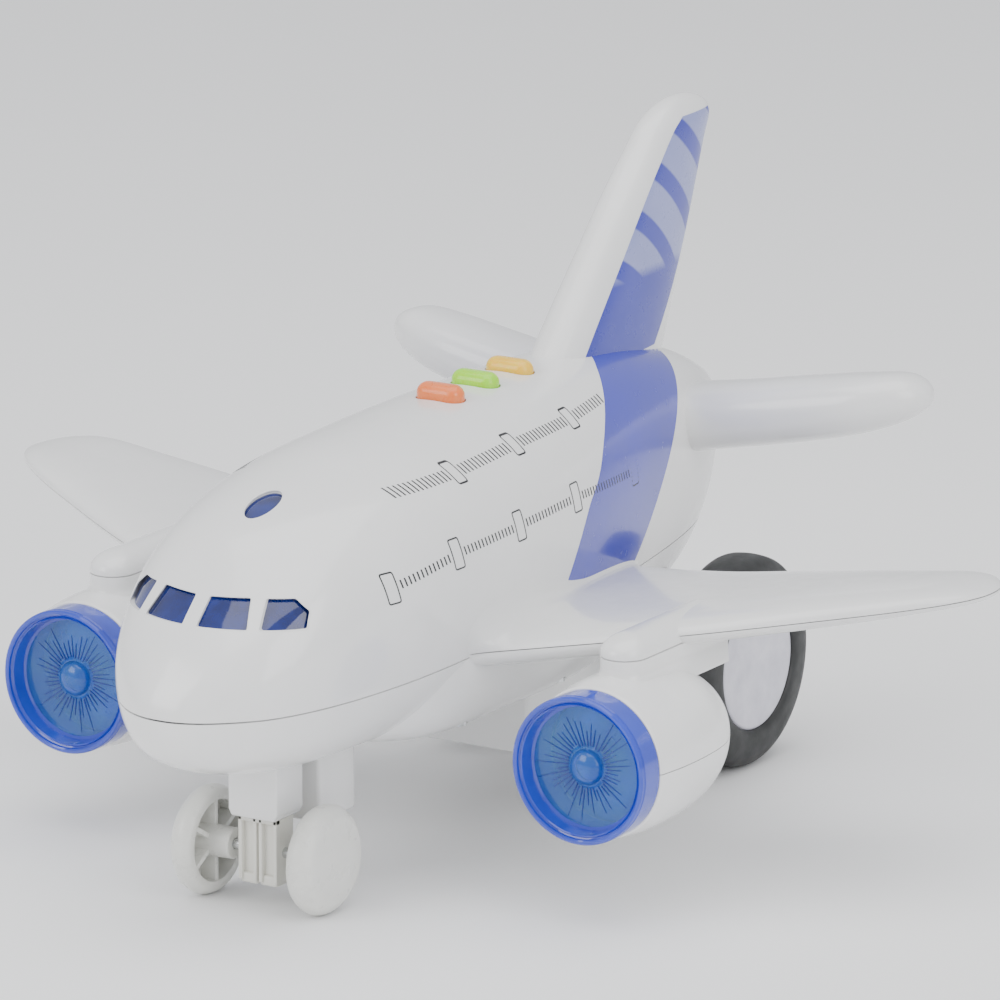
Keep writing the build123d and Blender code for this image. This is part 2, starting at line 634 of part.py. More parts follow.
with BuildPart() as engine_led:
    with BuildSketch(engine_plane()):
        with BuildLine():
            Polyline((REFLECTOR_Y - 2.6, 0), (REFLECTOR_Y - 2.0, 1.6), (REFLECTOR_Y - 0.6, LED_RADIUS),
                     (REFLECTOR_Y + 3.4, LED_RADIUS), (REFLECTOR_Y + 3.4, LED_RADIUS + 0.4),
                     (REFLECTOR_Y + 4.4, LED_RADIUS + 0.4), (REFLECTOR_Y + 4.4, 0), close=True)
        make_face()
    revolve(axis=Axis((ENGINE_X, 0, ENGINE_Z), (0, 1, 0)))
finish_pair(engine_led.part, "engine_led")

# ---------------------------------------------------------------- buttons and their board
for colour, button_y in BUTTON_YS.items():
    with BuildPart() as button:
        with BuildSketch(Plane.XY.offset(BUTTON_FLANGE_Z)):
            with Locations((0, button_y)):
                SlotOverall(BUTTON_LENGTH, BUTTON_WIDTH)
        extrude(amount=BUTTON_TOP_Z - BUTTON_FLANGE_Z)
        fillet(button.edges().group_by(Axis.Z)[-1], radius=2.6)
        with BuildSketch(Plane.XY.offset(BUTTON_FLANGE_Z)):
            with Locations((0, button_y)):
                SlotOverall(BUTTON_LENGTH + 2 * BUTTON_FLANGE_MARGIN,
                            BUTTON_WIDTH + 2 * BUTTON_FLANGE_MARGIN)
        extrude(amount=-BUTTON_FLANGE_THICKNESS)
        with BuildSketch(Plane.XY.offset(BUTTON_FLANGE_Z - BUTTON_FLANGE_THICKNESS)):
            with Locations((0, button_y)):
                SlotOverall(BUTTON_LENGTH - 3, BUTTON_WIDTH - 3)
        extrude(amount=6.6, mode=Mode.SUBTRACT)
        add(post(1.4, 0, button_y, BUTTON_FLANGE_Z - BUTTON_FLANGE_THICKNESS, BUTTON_TOP_Z - 2))
    finish(button.part, f"button_{colour}")

board_top_z = BUTTON_BOARD_Z + BOARD_THICKNESS
board_half, board_y0, board_y1 = BUTTON_BOARD
with BuildPart() as button_pad:
    add(block(-board_half, board_half, board_y0, board_y1, board_top_z + GAP,
              board_top_z + GAP + PAD_THICKNESS))
    for button_y in BUTTON_YS.values():
        with BuildSketch(Plane.XY.offset(board_top_z + GAP + PAD_THICKNESS)):
            with Locations((0, button_y)):
                Circle(3.4)
        extrude(amount=DOME_TOP_Z - board_top_z - GAP - PAD_THICKNESS, taper=22)
        add(post(2.0, 0, button_y, board_top_z + GAP, DOME_TOP_Z - 0.9), mode=Mode.SUBTRACT)
    for post_y in BUTTON_POST_YS:
        add(post(2.4, 0, post_y, BUTTON_BOARD_Z, BUTTON_BOARD_Z + 5), mode=Mode.SUBTRACT)
finish(button_pad.part, "button_pad")

with BuildPart() as button_board:
    add(block(-board_half, board_half, board_y0, board_y1, BUTTON_BOARD_Z, board_top_z))
    for post_y in BUTTON_POST_YS:
        add(post(SMALL_SCREW_HOLE_RADIUS, 0, post_y, BUTTON_BOARD_Z - 1, board_top_z + 1),
            mode=Mode.SUBTRACT)
finish(button_board.part, "button_board")

# ---------------------------------------------------------------- main board, sound chip, speaker
board_half, y0, y1, main_z = MAIN_BOARD
main_top_z = main_z + BOARD_THICKNESS
with BuildPart() as main_board:
    add(block(-board_half, board_half, y0, y1, main_z, main_top_z))
    for x, y in MAIN_BOARD_SCREWS:
        add(post(SMALL_SCREW_HOLE_RADIUS, x, y, main_z - 1, main_top_z + 1), mode=Mode.SUBTRACT)
finish(main_board.part, "main_board")

with BuildPart() as sound_chip:
    add(post(5.5, 0, 30, main_top_z, main_top_z + 1.8))
    fillet(sound_chip.edges().group_by(Axis.Z)[-1], radius=1.6)
finish(sound_chip.part, "sound_chip")

with BuildPart() as board_screws:
    for x, y in MAIN_BOARD_SCREWS:
        add(post(SMALL_SCREW_HEAD_RADIUS, x, y, main_top_z, main_top_z + SMALL_SCREW_HEAD_HEIGHT))
        add(post(SMALL_SCREW_CORE_RADIUS, x, y, main_z - 3, main_top_z))
    for y in BUTTON_POST_YS:
        add(post(SMALL_SCREW_HEAD_RADIUS, 0, y, BUTTON_BOARD_Z - SMALL_SCREW_HEAD_HEIGHT,
                 BUTTON_BOARD_Z))
        add(post(SMALL_SCREW_CORE_RADIUS, 0, y, BUTTON_BOARD_Z, BUTTON_BOARD_Z + 6))
finish(board_screws.part, "board_screws")

with BuildPart() as speaker:
    with BuildSketch(Plane.XZ.offset(-SPEAKER_Y)):
        with BuildLine():
            Polyline((0, SPEAKER_Z + 1.8), (4, SPEAKER_Z + 1.2), (12.4, SPEAKER_Z),
                     (SPEAKER_RADIUS, SPEAKER_Z),
                     (SPEAKER_RADIUS, SPEAKER_Z + 1.4), (12.0, SPEAKER_Z + 1.4), (8.2, SPEAKER_Z + 3.4),
                     (8.2, SPEAKER_Z + 7.0), (0, SPEAKER_Z + 7.0), close=True)
        make_face()
    revolve(axis=Axis((0, SPEAKER_Y, 0), (0, 0, 1)))
finish(speaker.part, "speaker")

# ---------------------------------------------------------------- battery bay contents
cell_xs = [-2 * CELL_RADIUS - GAP, 0, 2 * CELL_RADIUS + GAP]
with BuildPart() as battery_cells:
    for index, x in enumerate(cell_xs):
        with BuildSketch(Plane.XZ.offset(-CELL_START_Y)):
            with Locations((x, CELL_Z)):
                Circle(CELL_RADIUS - 0.05)
        extrude(amount=-(CELL_LENGTH - 1.2))
        tip_y = CELL_START_Y + CELL_LENGTH - 1.2
        with BuildSketch(Plane.XZ.offset(-tip_y)):
            with Locations((x, CELL_Z)):
                Circle(2.6)
        extrude(amount=-1.2)
finish(battery_cells.part, "battery_cells")

with BuildPart() as battery_contacts:
    y0, y1, z0, z1 = CELL_SPACE
    for x in cell_xs:
        add(block(x - 5.4, x + 5.4, y0 + 0.05, y0 + 0.45, z0 + 2.4, z1 - 2))
        add(block(x - 5.4, x + 5.4, y1 - 0.45, y1 - 0.05, z0 + 2.4, z1 - 2))
        add(Pos(x, (CELL_START_Y + CELL_LENGTH + y1) / 2 - 0.2, CELL_Z) * Rot(90, 0, 0)
            * Cylinder(2.0, y1 - CELL_START_Y - CELL_LENGTH - 0.9, mode=Mode.PRIVATE))
finish(battery_contacts.part, "battery_contacts")

inside = CELL_SPACE_HALF_WIDTH
y0, y1, z0, z1 = BATTERY_BAY
with BuildPart() as battery_door:
    add(block(-inside - 1.5, inside + 1.5, y0 + WALL + 0.2, y1 - 1.1, z0, z0 + DOOR_THICKNESS))
    add(post(SCREW_RADIUS + 0.2, 0, DOOR_SCREW_Y, z0 - 1, z0 + 3), mode=Mode.SUBTRACT)
    add(post(SCREW_HEAD_RADIUS + 0.2, 0, DOOR_SCREW_Y, z0 - 1, z0 + DOOR_SCREW_RECESS),
        mode=Mode.SUBTRACT)
finish(battery_door.part, "battery_door")

with BuildPart() as battery_door_screw:
    add(post(SCREW_HEAD_RADIUS, 0, DOOR_SCREW_Y, z0, z0 + DOOR_SCREW_RECESS))
    add(post(SCREW_CORE_RADIUS, 0, DOOR_SCREW_Y, z0 + DOOR_SCREW_RECESS, z0 + 9))
finish(battery_door_screw.part, "battery_door_screw")

with BuildPart() as shell_screws:
    for x, y, head_z in SHELL_SCREWS:
        add(post(SCREW_HEAD_RADIUS, x, y, head_z - SCREW_HEAD_HEIGHT, head_z))
        add(post(SCREW_CORE_RADIUS, x, y, head_z, head_z + POST_JOINT_RISE + 6))
finish(shell_screws.part, "shell_screws")

# ---------------------------------------------------------------- nose gear
leg_half, leg_depth, leg_z = NOSE_LEG
plug_half, plug_depth, plug_top = NOSE_PLUG
housing_z = NOSE_HOUSING[2]
with BuildPart() as nose_leg:
    add(block(-leg_half, leg_half, NOSE_WHEEL_Y - leg_depth, NOSE_WHEEL_Y + leg_depth, leg_z + 1.4,
              housing_z - GAP))
    for x0, x1 in ((-leg_half, -0.4), (0.4, leg_half)):
        add(block(x0, x1, NOSE_WHEEL_Y - leg_depth + 0.6, NOSE_WHEEL_Y + leg_depth - 0.6, leg_z,
                  leg_z + 1.4))
    for x0, x1 in ((-4.9, -1.4), (1.4, 4.9)):
        add(block(x0, x1, NOSE_WHEEL_Y - leg_depth - 1, NOSE_WHEEL_Y - leg_depth + 0.9, leg_z - 1,
                  housing_z - 1.4), mode=Mode.SUBTRACT)
    add(block(-plug_half, plug_half, NOSE_WHEEL_Y - plug_depth, NOSE_WHEEL_Y + plug_depth,
              housing_z - 1, plug_top))
    add(rod(BEARING_RADIUS, -10, 10, NOSE_WHEEL_Y, NOSE_WHEEL_RADIUS), mode=Mode.SUBTRACT)
finish(nose_leg.part, "nose_leg")

with BuildPart() as nose_axle:
    add(rod(AXLE_RADIUS, -NOSE_WHEEL_OUTER_X + 2, NOSE_WHEEL_OUTER_X - 2, NOSE_WHEEL_Y,
            NOSE_WHEEL_RADIUS))
finish(nose_axle.part, "nose_axle")

inner_x, outer_x, radius = NOSE_WHEEL_INNER_X, NOSE_WHEEL_OUTER_X, NOSE_WHEEL_RADIUS
shoulder, boss, boss_x = NOSE_WHEEL_SHOULDER, NOSE_WHEEL_BOSS_RADIUS, NOSE_WHEEL_BOSS_X
with BuildPart() as nose_wheel:
    with BuildSketch(wheel_plane(NOSE_WHEEL_Y, NOSE_WHEEL_RADIUS)):
        with BuildLine():
            Polyline((outer_x - 0.4, 0), (outer_x - 0.4, shoulder - 0.8), (outer_x - 0.8, shoulder))
            ThreePointArc((outer_x - 0.8, shoulder), ((inner_x + outer_x - 0.8) / 2, radius),
                          (inner_x, shoulder))
            Polyline((inner_x, shoulder), (inner_x, 11.4), (outer_x - 2.4, 11.4),
                     (outer_x - 2.4, boss), (boss_x, boss), (boss_x, 0), (outer_x - 0.4, 0))
        make_face()
    revolve(axis=Axis((0, NOSE_WHEEL_Y, NOSE_WHEEL_RADIUS), (1, 0, 0)))
    for angle in range(0, 360, 60):
        rib = Rot(angle, 0, 0) * Pos(outer_x - 4.4, 0, 8) * Box(4.4, 1.2, 7, mode=Mode.PRIVATE)
        add(Pos(0, NOSE_WHEEL_Y, NOSE_WHEEL_RADIUS) * rib)
    add(rod(AXLE_RADIUS, 0, outer_x - 2, NOSE_WHEEL_Y, NOSE_WHEEL_RADIUS), mode=Mode.SUBTRACT)
finish_pair(nose_wheel.part, "nose_wheel")

# ---------------------------------------------------------------- friction motor
y0, y1, z0, z1 = GEARBOX
half = GEARBOX_HALF_WIDTH
with BuildPart() as gearbox_shell:
    add(block(-half, half, y0, y1, z0, z1))
    add(block(-half + GEARBOX_WALL, half - GEARBOX_WALL, y0 + GEARBOX_WALL, y1 - GEARBOX_WALL,
              z0 + GEARBOX_WALL, z1 - GEARBOX_WALL), mode=Mode.SUBTRACT)
    add(rod(BEARING_RADIUS, -half - 1, half + 1, REAR_WHEEL_Y, REAR_WHEEL_RADIUS), mode=Mode.SUBTRACT)
    for shaft in (REDUCTION_SHAFT, FLYWHEEL_SHAFT):
        add(rod(PIN_BEARING_RADIUS, -half - 1, half + 1, *shaft), mode=Mode.SUBTRACT)
for side, keep in (("port", Keep.TOP), ("starboard", Keep.BOTTOM)):
    with BuildPart() as gearbox_half:
        add(gearbox_shell.part)
        split(bisect_by=Plane.YZ, keep=keep)
    finish(gearbox_half.part, f"gearbox_{side}")

with BuildPart() as rear_axle:
    add(rod(AXLE_RADIUS, -REAR_AXLE_END_X, REAR_AXLE_END_X, REAR_WHEEL_Y, REAR_WHEEL_RADIUS))
finish(rear_axle.part, "rear_axle")


def mesh_phase(teeth, other_teeth, other_phase, from_shaft, to_shaft):
    """Phase that puts a gap of the gear at `to_shaft` opposite a tooth of the other gear."""
    along = math.atan2(to_shaft[1] - from_shaft[1], to_shaft[0] - from_shaft[0])
    other_pitch = 2 * math.pi / other_teeth
    ahead = (other_phase - along) / other_pitch
    pitch = 2 * math.pi / teeth
    return along + math.pi + pitch / 2 - ahead * pitch


axle_shaft = (REAR_WHEEL_Y, REAR_WHEEL_RADIUS)
reduction_phase = mesh_phase(PINION_TEETH, AXLE_TEETH, 0, axle_shaft, REDUCTION_SHAFT)
flywheel_phase = mesh_phase(PINION_TEETH, REDUCTION_TEETH, 0, REDUCTION_SHAFT, FLYWHEEL_SHAFT)

with BuildPart() as axle_gear:
    with BuildSketch(gear_plane(FIRST_STAGE_X[0], axle_shaft)):
        with BuildLine():
            gear_outline(AXLE_TEETH, 0)
        make_face()
        Circle(AXLE_RADIUS, mode=Mode.SUBTRACT)
    extrude(amount=FIRST_STAGE_X[1] - FIRST_STAGE_X[0])
finish(axle_gear.part, "axle_gear")

with BuildPart() as reduction_gear:
    with BuildSketch(gear_plane(FIRST_STAGE_X[0], REDUCTION_SHAFT)):
        with BuildLine():
            gear_outline(PINION_TEETH, reduction_phase)
        make_face()
    extrude(amount=SECOND_STAGE_X[0] - FIRST_STAGE_X[0])
    with BuildSketch(gear_plane(SECOND_STAGE_X[0], REDUCTION_SHAFT)):
        with BuildLine():
            gear_outline(REDUCTION_TEETH, 0)
        make_face()
    extrude(amount=SECOND_STAGE_X[1] - SECOND_STAGE_X[0])
    add(rod(PIN_RADIUS, -half, half, *REDUCTION_SHAFT), mode=Mode.SUBTRACT)
finish(reduction_gear.part, "reduction_gear")

with BuildPart() as reduction_pin:
    add(rod(PIN_RADIUS, -half + 0.2, half - 0.2, *REDUCTION_SHAFT))
finish(reduction_pin.part, "reduction_pin")

with BuildPart() as flywheel_pinion:
    with BuildSketch(gear_plane(SECOND_STAGE_X[0], FLYWHEEL_SHAFT)):
        with BuildLine():
            gear_outline(PINION_TEETH, flywheel_phase)
        make_face()
        Circle(PIN_RADIUS, mode=Mode.SUBTRACT)
    extrude(amount=FLYWHEEL_X[0] - SECOND_STAGE_X[0] - GAP)
finish(flywheel_pinion.part, "flywheel_pinion")

with BuildPart() as flywheel:
    add(rod(FLYWHEEL_RADIUS, *FLYWHEEL_X, *FLYWHEEL_SHAFT))
    add(rod(PIN_RADIUS, -half, half, *FLYWHEEL_SHAFT), mode=Mode.SUBTRACT)
finish(flywheel.part, "flywheel")

with BuildPart() as flywheel_pin:
    add(rod(PIN_RADIUS, -half + 0.2, half - 0.2, *FLYWHEEL_SHAFT))
finish(flywheel_pin.part, "flywheel_pin")

# ---------------------------------------------------------------- rear wheels
with BuildPart() as rear_hub:
    with BuildSketch(wheel_plane(*axle_shaft)):
        with BuildLine():
            Polyline((TYRE_OUTER_X - 1.8, 0), (TYRE_OUTER_X - 1.8, 4.2), (TYRE_OUTER_X - 1.2, 16.8),
                     (TYRE_OUTER_X - 0.6, HUB_RADIUS), (TYRE_INNER_X + 2, HUB_RADIUS),
                     (TYRE_INNER_X + 2, HUB_RADIUS - 1.8), (TYRE_OUTER_X - 3.6, HUB_RADIUS - 1.8),
                     (TYRE_OUTER_X - 3.6, 4.4), (MOTOR_BAY_HALF_WIDTH + 1.2, 4.0),
                     (MOTOR_BAY_HALF_WIDTH + 1.2, 0), close=True)
        make_face()
    revolve(axis=Axis((0, *axle_shaft), (1, 0, 0)))
    add(rod(AXLE_RADIUS, 0, REAR_AXLE_END_X, *axle_shaft), mode=Mode.SUBTRACT)
finish_pair(rear_hub.part, "rear_hub")

wall_top = REAR_WHEEL_RADIUS - 5.4
tread_edge = REAR_WHEEL_RADIUS - 0.3
tyre_middle_x = (TYRE_INNER_X + TYRE_OUTER_X) / 2
with BuildPart() as tyre:
    with BuildSketch(wheel_plane(*axle_shaft)):
        with BuildLine():
            Polyline((TYRE_INNER_X, wall_top), (TYRE_INNER_X + 1.4, HUB_RADIUS),
                     (TYRE_OUTER_X - 1, HUB_RADIUS), (TYRE_OUTER_X, HUB_RADIUS + 2.1),
                     (TYRE_OUTER_X - 0.5, wall_top))
            ThreePointArc((TYRE_OUTER_X - 0.5, wall_top), (TYRE_OUTER_X - 2.0, REAR_WHEEL_RADIUS - 1.8),
                          (TYRE_OUTER_X - 4.6, tread_edge))
            ThreePointArc((TYRE_OUTER_X - 4.6, tread_edge), (tyre_middle_x, REAR_WHEEL_RADIUS),
                          (TYRE_INNER_X + 4.6, tread_edge))
            ThreePointArc((TYRE_INNER_X + 4.6, tread_edge),
                          (TYRE_INNER_X + 1.5, REAR_WHEEL_RADIUS - 2.0), (TYRE_INNER_X, wall_top))
        make_face()
    revolve(axis=Axis((0, *axle_shaft), (1, 0, 0)))
finish_pair(tyre.part, "tyre")
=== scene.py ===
"""Looks of a friction-drive toy airplane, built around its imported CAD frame.

Tables and helpers work in millimetres, +X to port, nose to -Y, +Z up. Pieces are scaled to metres
as they are made.
"""

import math
import random

import bmesh
import bpy
from mathutils import Matrix, Vector


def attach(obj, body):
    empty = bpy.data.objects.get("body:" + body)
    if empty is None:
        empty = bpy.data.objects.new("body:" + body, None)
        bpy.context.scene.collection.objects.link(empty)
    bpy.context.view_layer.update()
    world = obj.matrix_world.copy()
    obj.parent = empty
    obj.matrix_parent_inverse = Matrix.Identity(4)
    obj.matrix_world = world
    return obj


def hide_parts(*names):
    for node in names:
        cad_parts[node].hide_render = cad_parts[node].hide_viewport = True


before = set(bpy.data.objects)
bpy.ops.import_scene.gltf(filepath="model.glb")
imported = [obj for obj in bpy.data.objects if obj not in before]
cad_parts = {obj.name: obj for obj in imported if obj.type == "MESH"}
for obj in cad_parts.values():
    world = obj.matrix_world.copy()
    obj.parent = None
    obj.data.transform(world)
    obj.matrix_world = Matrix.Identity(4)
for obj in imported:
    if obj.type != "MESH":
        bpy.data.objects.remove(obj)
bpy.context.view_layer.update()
MM = 0.001

# ------------------------------------------------------------------ shapes shared with the CAD model
SEAM_Z = 63.3
SEAM_GAP = 0.22               # half of the visible gap between the two shells
THIN_GAP = 0.12               # half of the gap between a wing's or a nacelle's two halves
PRINT_LIFT = 0.05             # paint and printed outlines lie this far off the shell
TICK_LIFT = 0.07
PAINT_THICKNESS = 0.12
PRINT_THICKNESS = 0.1
WALL = 1.8
HALF_LENGTH = 141.2
FULLNESS = 0.64
# fuselage from nose to tail: y, half width, bottom, height of widest point, top
FUSELAGE = [
    (-141.2, 0.0, 60.0, 60.0, 60.0),
    (-139.0, 9.0, 53.0, 62.0, 69.4),
    (-134.4, 15.8, 49.6, 65.0, 76.4),
    (-123.0, 26.0, 44.8, 70.6, 89.4),
    (-100.0, 34.6, 40.4, 78.4, 107.6),
    (-66.0, 39.3, 39.0, 84.0, 117.8),
    (-22.0, 38.2, 37.0, 86.4, 121.6),
    (26.0, 33.8, 36.6, 87.0, 123.3),
    (72.0, 25.9, 38.8, 87.6, 122.6),
    (106.0, 18.6, 46.6, 89.0, 116.4),
    (126.0, 12.4, 58.0, 90.5, 108.8),
    (137.0, 6.8, 71.0, 91.5, 101.4),
    (141.2, 0.0, 88.0, 88.0, 88.0),
]
# wing-root fairing: y, half width, bottom; its first and last rows lie inside the fuselage
FAIRING = [(-78.0, 15.0, 44.0), (-66.0, 28.0, 40.8), (-50.0, 35.4, 38.2), (-20.0, 35.6, 37.0),
           (30.0, 33.0, 36.6), (62.0, 24.0, 39.0), (76.0, 14.0, 44.0)]
FAIRING_FULLNESS = 0.86
# wing: x, leading edge y, trailing edge y, underside z, top z
WING = [
    (18.0, -50.0, 62.0, 54.8, 69.2),
    (36.0, -44.0, 60.0, 57.0, 69.8),
    (60.0, -35.5, 56.0, 61.2, 72.4),
    (90.0, -23.5, 51.5, 67.2, 77.2),
    (123.0, -6.5, 48.0, 73.4, 82.2),
    (147.0, 8.6, 45.5, 78.4, 84.4),
    (158.0, 27.0, 27.0, 82.0, 82.0),
]
WING_CREST = 0.36
WING_SEAM = ((36.0, 64.2), (150.0, 81.2))
WING_FILLET = 9.0
FILLET_FADE = (-20.0, 25.0)     # y range over which the fillet fades away
STABILISER = [
    (8.0, 96.0, 127.0, 84.8, 105.0),
    (30.0, 97.0, 127.5, 89.2, 108.2),
    (50.0, 98.0, 128.0, 93.2, 111.8),
    (70.0, 100.0, 128.0, 98.0, 115.0),
    (82.0, 105.0, 126.0, 102.4, 115.6),
    (89.2, 115.5, 115.5, 109.5, 109.5),
]
STABILISER_CREST = 0.4
# fin: z, front y, rear y, half thickness
FIN = [
    (108.0, 36.0, 111.0, 9.2),
    (124.0, 51.2, 117.8, 8.6),
    (150.0, 75.8, 129.0, 7.4),
    (172.0, 98.2, 137.2, 6.2),
    (181.0, 107.8, 140.2, 5.0),
    (186.2, 125.0, 125.0, 0.0),
]
FIN_CREST = 0.3
# cockpit window corners on the port side: x, z
WINDOWS = [
    [(2.0, 85.8), (16.4, 86.0), (13.7, 93.4), (2.0, 92.9)],
    [(18.9, 86.0), (28.4, 85.8), (27.6, 90.2), (23.8, 93.4), (17.2, 93.4)],
]
WINDOW_CORNER = 0.7
TOP_WINDOW_Y = -90.4
TOP_WINDOW_HALF = (4.5, 7.0)
GLAZING_INSET = 1.9
GLAZING_THICKNESS = 1.2

ENGINE_X, ENGINE_Z = 83.2, 43.7
NACELLE = [(-56.8, 20.9), (-47.0, 21.9), (-34.0, 21.7), (-21.6, 19.9), (-11.0, 15.2), (-3.4, 8.4)]
PYLON_HALF_WIDTH = 6.7
PYLON_FRONT_Y = -47.9
PYLON_SEAM_Z = 70.0
CAP_TOP_Z, CAP_REAR_Y = 76.2, 6.0
CAP_ROUNDING, CAP_INSET = 5.4, 6.4     # how far the cap's edge curves up and in
CAP_LEAN = 10.0                        # how far the front of the cap's dome leans back

BUTTON_YS = {"orange": -2.0, "green": 16.0, "yellow": 34.0}
BUTTON_LENGTH, BUTTON_WIDTH = 14.5, 7.0
BUTTON_TOP_Z = 126.6
BUTTON_CLEARANCE = 0.35

REAR_WHEEL_Y, REAR_WHEEL_RADIUS = 93.8, 30.8
TYRE_INNER_X, TYRE_OUTER_X = 31.0, 47.0
HUB_RADIUS = 19.4
NOSE_WHEEL_Y, NOSE_WHEEL_RADIUS = -90.4, 15.2
NOSE_WHEEL_INNER_X, NOSE_WHEEL_OUTER_X = 15.3, 23.3
AXLE_RADIUS = 1.5


# ------------------------------------------------------------------ interpolation and sections
def smooth_row(table, parameter, value):
    """The table's row at `value` of its first column, smooth in `parameter` of that column."""
    knots = [parameter(row[0]) for row in table]
    target = parameter(value)
    index = max(i for i in range(len(knots) - 1) if knots[i] <= target + 1e-9)

    def tangent(i, column):
        before, after = max(i - 1, 0), min(i + 1, len(knots) - 1)
        return (table[after][column] - table[before][column]) / (knots[after] - knots[before])

    span = knots[index + 1] - knots[index]
    t = (target - knots[index]) / span
    row = [value]
    for column in range(1, len(table[0])):
        start, end = table[index][column], table[index + 1][column]
        row.append((2 * t ** 3 - 3 * t ** 2 + 1) * start + (3 * t ** 2 - 2 * t ** 3) * end
                   + (t ** 3 - 2 * t ** 2 + t) * span * tangent(index, column)
                   + (t ** 3 - t ** 2) * span * tangent(index + 1, column))
    return row


def plain(place):
    return place


def arc_parameter(table):
    """Parameter of a table whose two ends are rounded."""
    half = (table[-1][0] - table[0][0]) / 2
    middle = (table[-1][0] + table[0][0]) / 2
    return lambda place: math.acos(max(-1.0, min(1.0, (middle - place) / half)))


def tip_parameter(table):
    """Parameter of a table whose last row is a rounded tip."""
    root, tip = table[0][0], table[-1][0]
    return lambda place: 1 - math.sqrt(max(0.0, (tip - place) / (tip - root)))


def tip_place(table, share):
    """Place in the table's first column at a share of the way to its rounded tip."""
    root, tip = table[0][0], table[-1][0]
    return tip - (tip - root) * (1 - share) ** 2


def bezier(a, b, c, d, t):
    s = 1 - t
    return s ** 3 * a + 3 * s * s * t * b + 3 * s * t * t * c + t ** 3 * d


def egg(front, rear, low, high, centre, fullness=FULLNESS, middle=None, steps=24):
    """Closed outline in four Bezier quarters, as in the CAD model, as a list of points."""
    if middle is None:
        middle = (low + high) / 2
    corners = [(rear, middle), (centre, high), (front, middle), (centre, low)]
    points = []
    for index, (x0, y0) in enumerate(corners):
        x1, y1 = corners[(index + 1) % 4]
        if index % 2 == 0:
            c0, c1 = (x0, y0 + fullness * (y1 - y0)), (x1 + fullness * (x0 - x1), y1)
        else:
            c0, c1 = (x0 + fullness * (x1 - x0), y0), (x1, y1 + fullness * (y0 - y1))
        for step in range(steps):
            t = step / steps
            points.append((bezier(x0, c0[0], c1[0], x1, t), bezier(y0, c0[1], c1[1], y1, t)))
    return points


def side_x(half_width, low, widest, high, fullness, z):
    """Half width of an egg section at height z, by halving the Bezier parameter's range."""
    if not low < z < high:
        return 0.0
    top = high if z >= widest else low
    near, far = 0.0, 1.0
    for _ in range(30):
        t = (near + far) / 2
        reached = bezier(widest, widest + fullness * (top - widest), top, top, t)
        if abs(reached - widest) < abs(z - widest):
            near = t
        else:
            far = t
    return bezier(half_width, half_width, fullness * half_width, 0, near)


fuselage_parameter = arc_parameter(FUSELAGE)


def fuselage_x(y, z, inset=0.0):
    """Half width of the fuselage at (y, z)."""
    if abs(y) >= HALF_LENGTH:
        return 0.0
    _, half_width, low, widest, high = smooth_row(FUSELAGE, fuselage_parameter, y)
    return side_x(half_width - inset, low + inset, widest, high - inset, FULLNESS, z)


def fairing_x(y, z):
    """Half width of the wing-root fairing at (y, z)."""
    if not FAIRING[0][0] < y < FAIRING[-1][0]:
        return 0.0
    _, half_width, low = smooth_row(FAIRING, plain, y)
    return side_x(half_width, low, 64, 90, FAIRING_FULLNESS, z)


def body_x(y, z):
    """Half width of whatever a wing meets at (y, z)."""
    return max(fuselage_x(y, z), fairing_x(y, z) if z < SEAM_Z else 0.0)


def nose_y(x, z, inset=0.0):
    """y of the front of the fuselage at (x, z)."""
    ahead, behind = -HALF_LENGTH, -66.0
    for _ in range(30):
        y = (ahead + behind) / 2
        if fuselage_x(y, z, inset) > abs(x):
            behind = y
        else:
            ahead = y
    return behind


def top_z(x, y, inset=0.0):
    """Height of the top of the fuselage at (x, y)."""
    _, _, _, widest, high = smooth_row(FUSELAGE, fuselage_parameter, y)
    below, above = widest, high
    for _ in range(30):
        z = (below + above) / 2
        if fuselage_x(y, z, inset) > abs(x):
            below = z
        else:
            above = z
    return below


# ------------------------------------------------------------------ mesh building
def band_of_faces(mesh, near, far):
    """Faces between two closed rings of vertices."""
    count = len(near)
    for i in range(count):
        j = (i + 1) % count
        mesh.faces.new((near[i], near[j], far[j], far[i]))


def skin(rings):
    """A bmesh through closed rings of points, each end closed by a fan."""
    mesh = bmesh.new()
    rows = [[mesh.verts.new(point) for point in ring] for ring in rings]
    count = len(rings[0])
    for near, far in zip(rows, rows[1:]):
        band_of_faces(mesh, near, far)
    for row in (rows[0], rows[-1]):
        centre = mesh.verts.new(sum((v.co for v in row), Vector()) / count)
        for i in range(count):
            mesh.faces.new((row[i], row[(i + 1) % count], centre))
    bmesh.ops.recalc_face_normals(mesh, faces=mesh.faces)
    return mesh


def turned(profile, centre, axis="y", segments=96):
    """A bmesh turned from a closed profile of (place along the axis, radius)."""
    rings = []
    cx, cy, cz = centre
    for index in range(segments):
        angle = 2 * math.pi * index / segments
        cos, sin = math.cos(angle), math.sin(angle)
        if axis == "y":
            rings.append([(cx + r * cos, cy + a, cz + r * sin) for a, r in profile])
        else:
            rings.append([(cx + a, cy + r * cos, cz + r * sin) for a, r in profile])
    mesh = bmesh.new()
    rows = [[mesh.verts.new(point) for point in ring] for ring in rings]
    for index in range(segments):
        band_of_faces(mesh, rows[index], rows[(index + 1) % segments])
    bmesh.ops.remove_doubles(mesh, verts=mesh.verts, dist=1e-4)
    bmesh.ops.dissolve_degenerate(mesh, edges=mesh.edges, dist=1e-5)
    bmesh.ops.recalc_face_normals(mesh, faces=mesh.faces)
    return mesh


def joined(*meshes):
    """One bmesh with the islands of all the given ones."""
    result = bmesh.new()
    for mesh in meshes:
        scratch = bpy.data.meshes.new("scratch")
        mesh.to_mesh(scratch)
        mesh.free()
        result.from_mesh(scratch)
        bpy.data.meshes.remove(scratch)
    return result


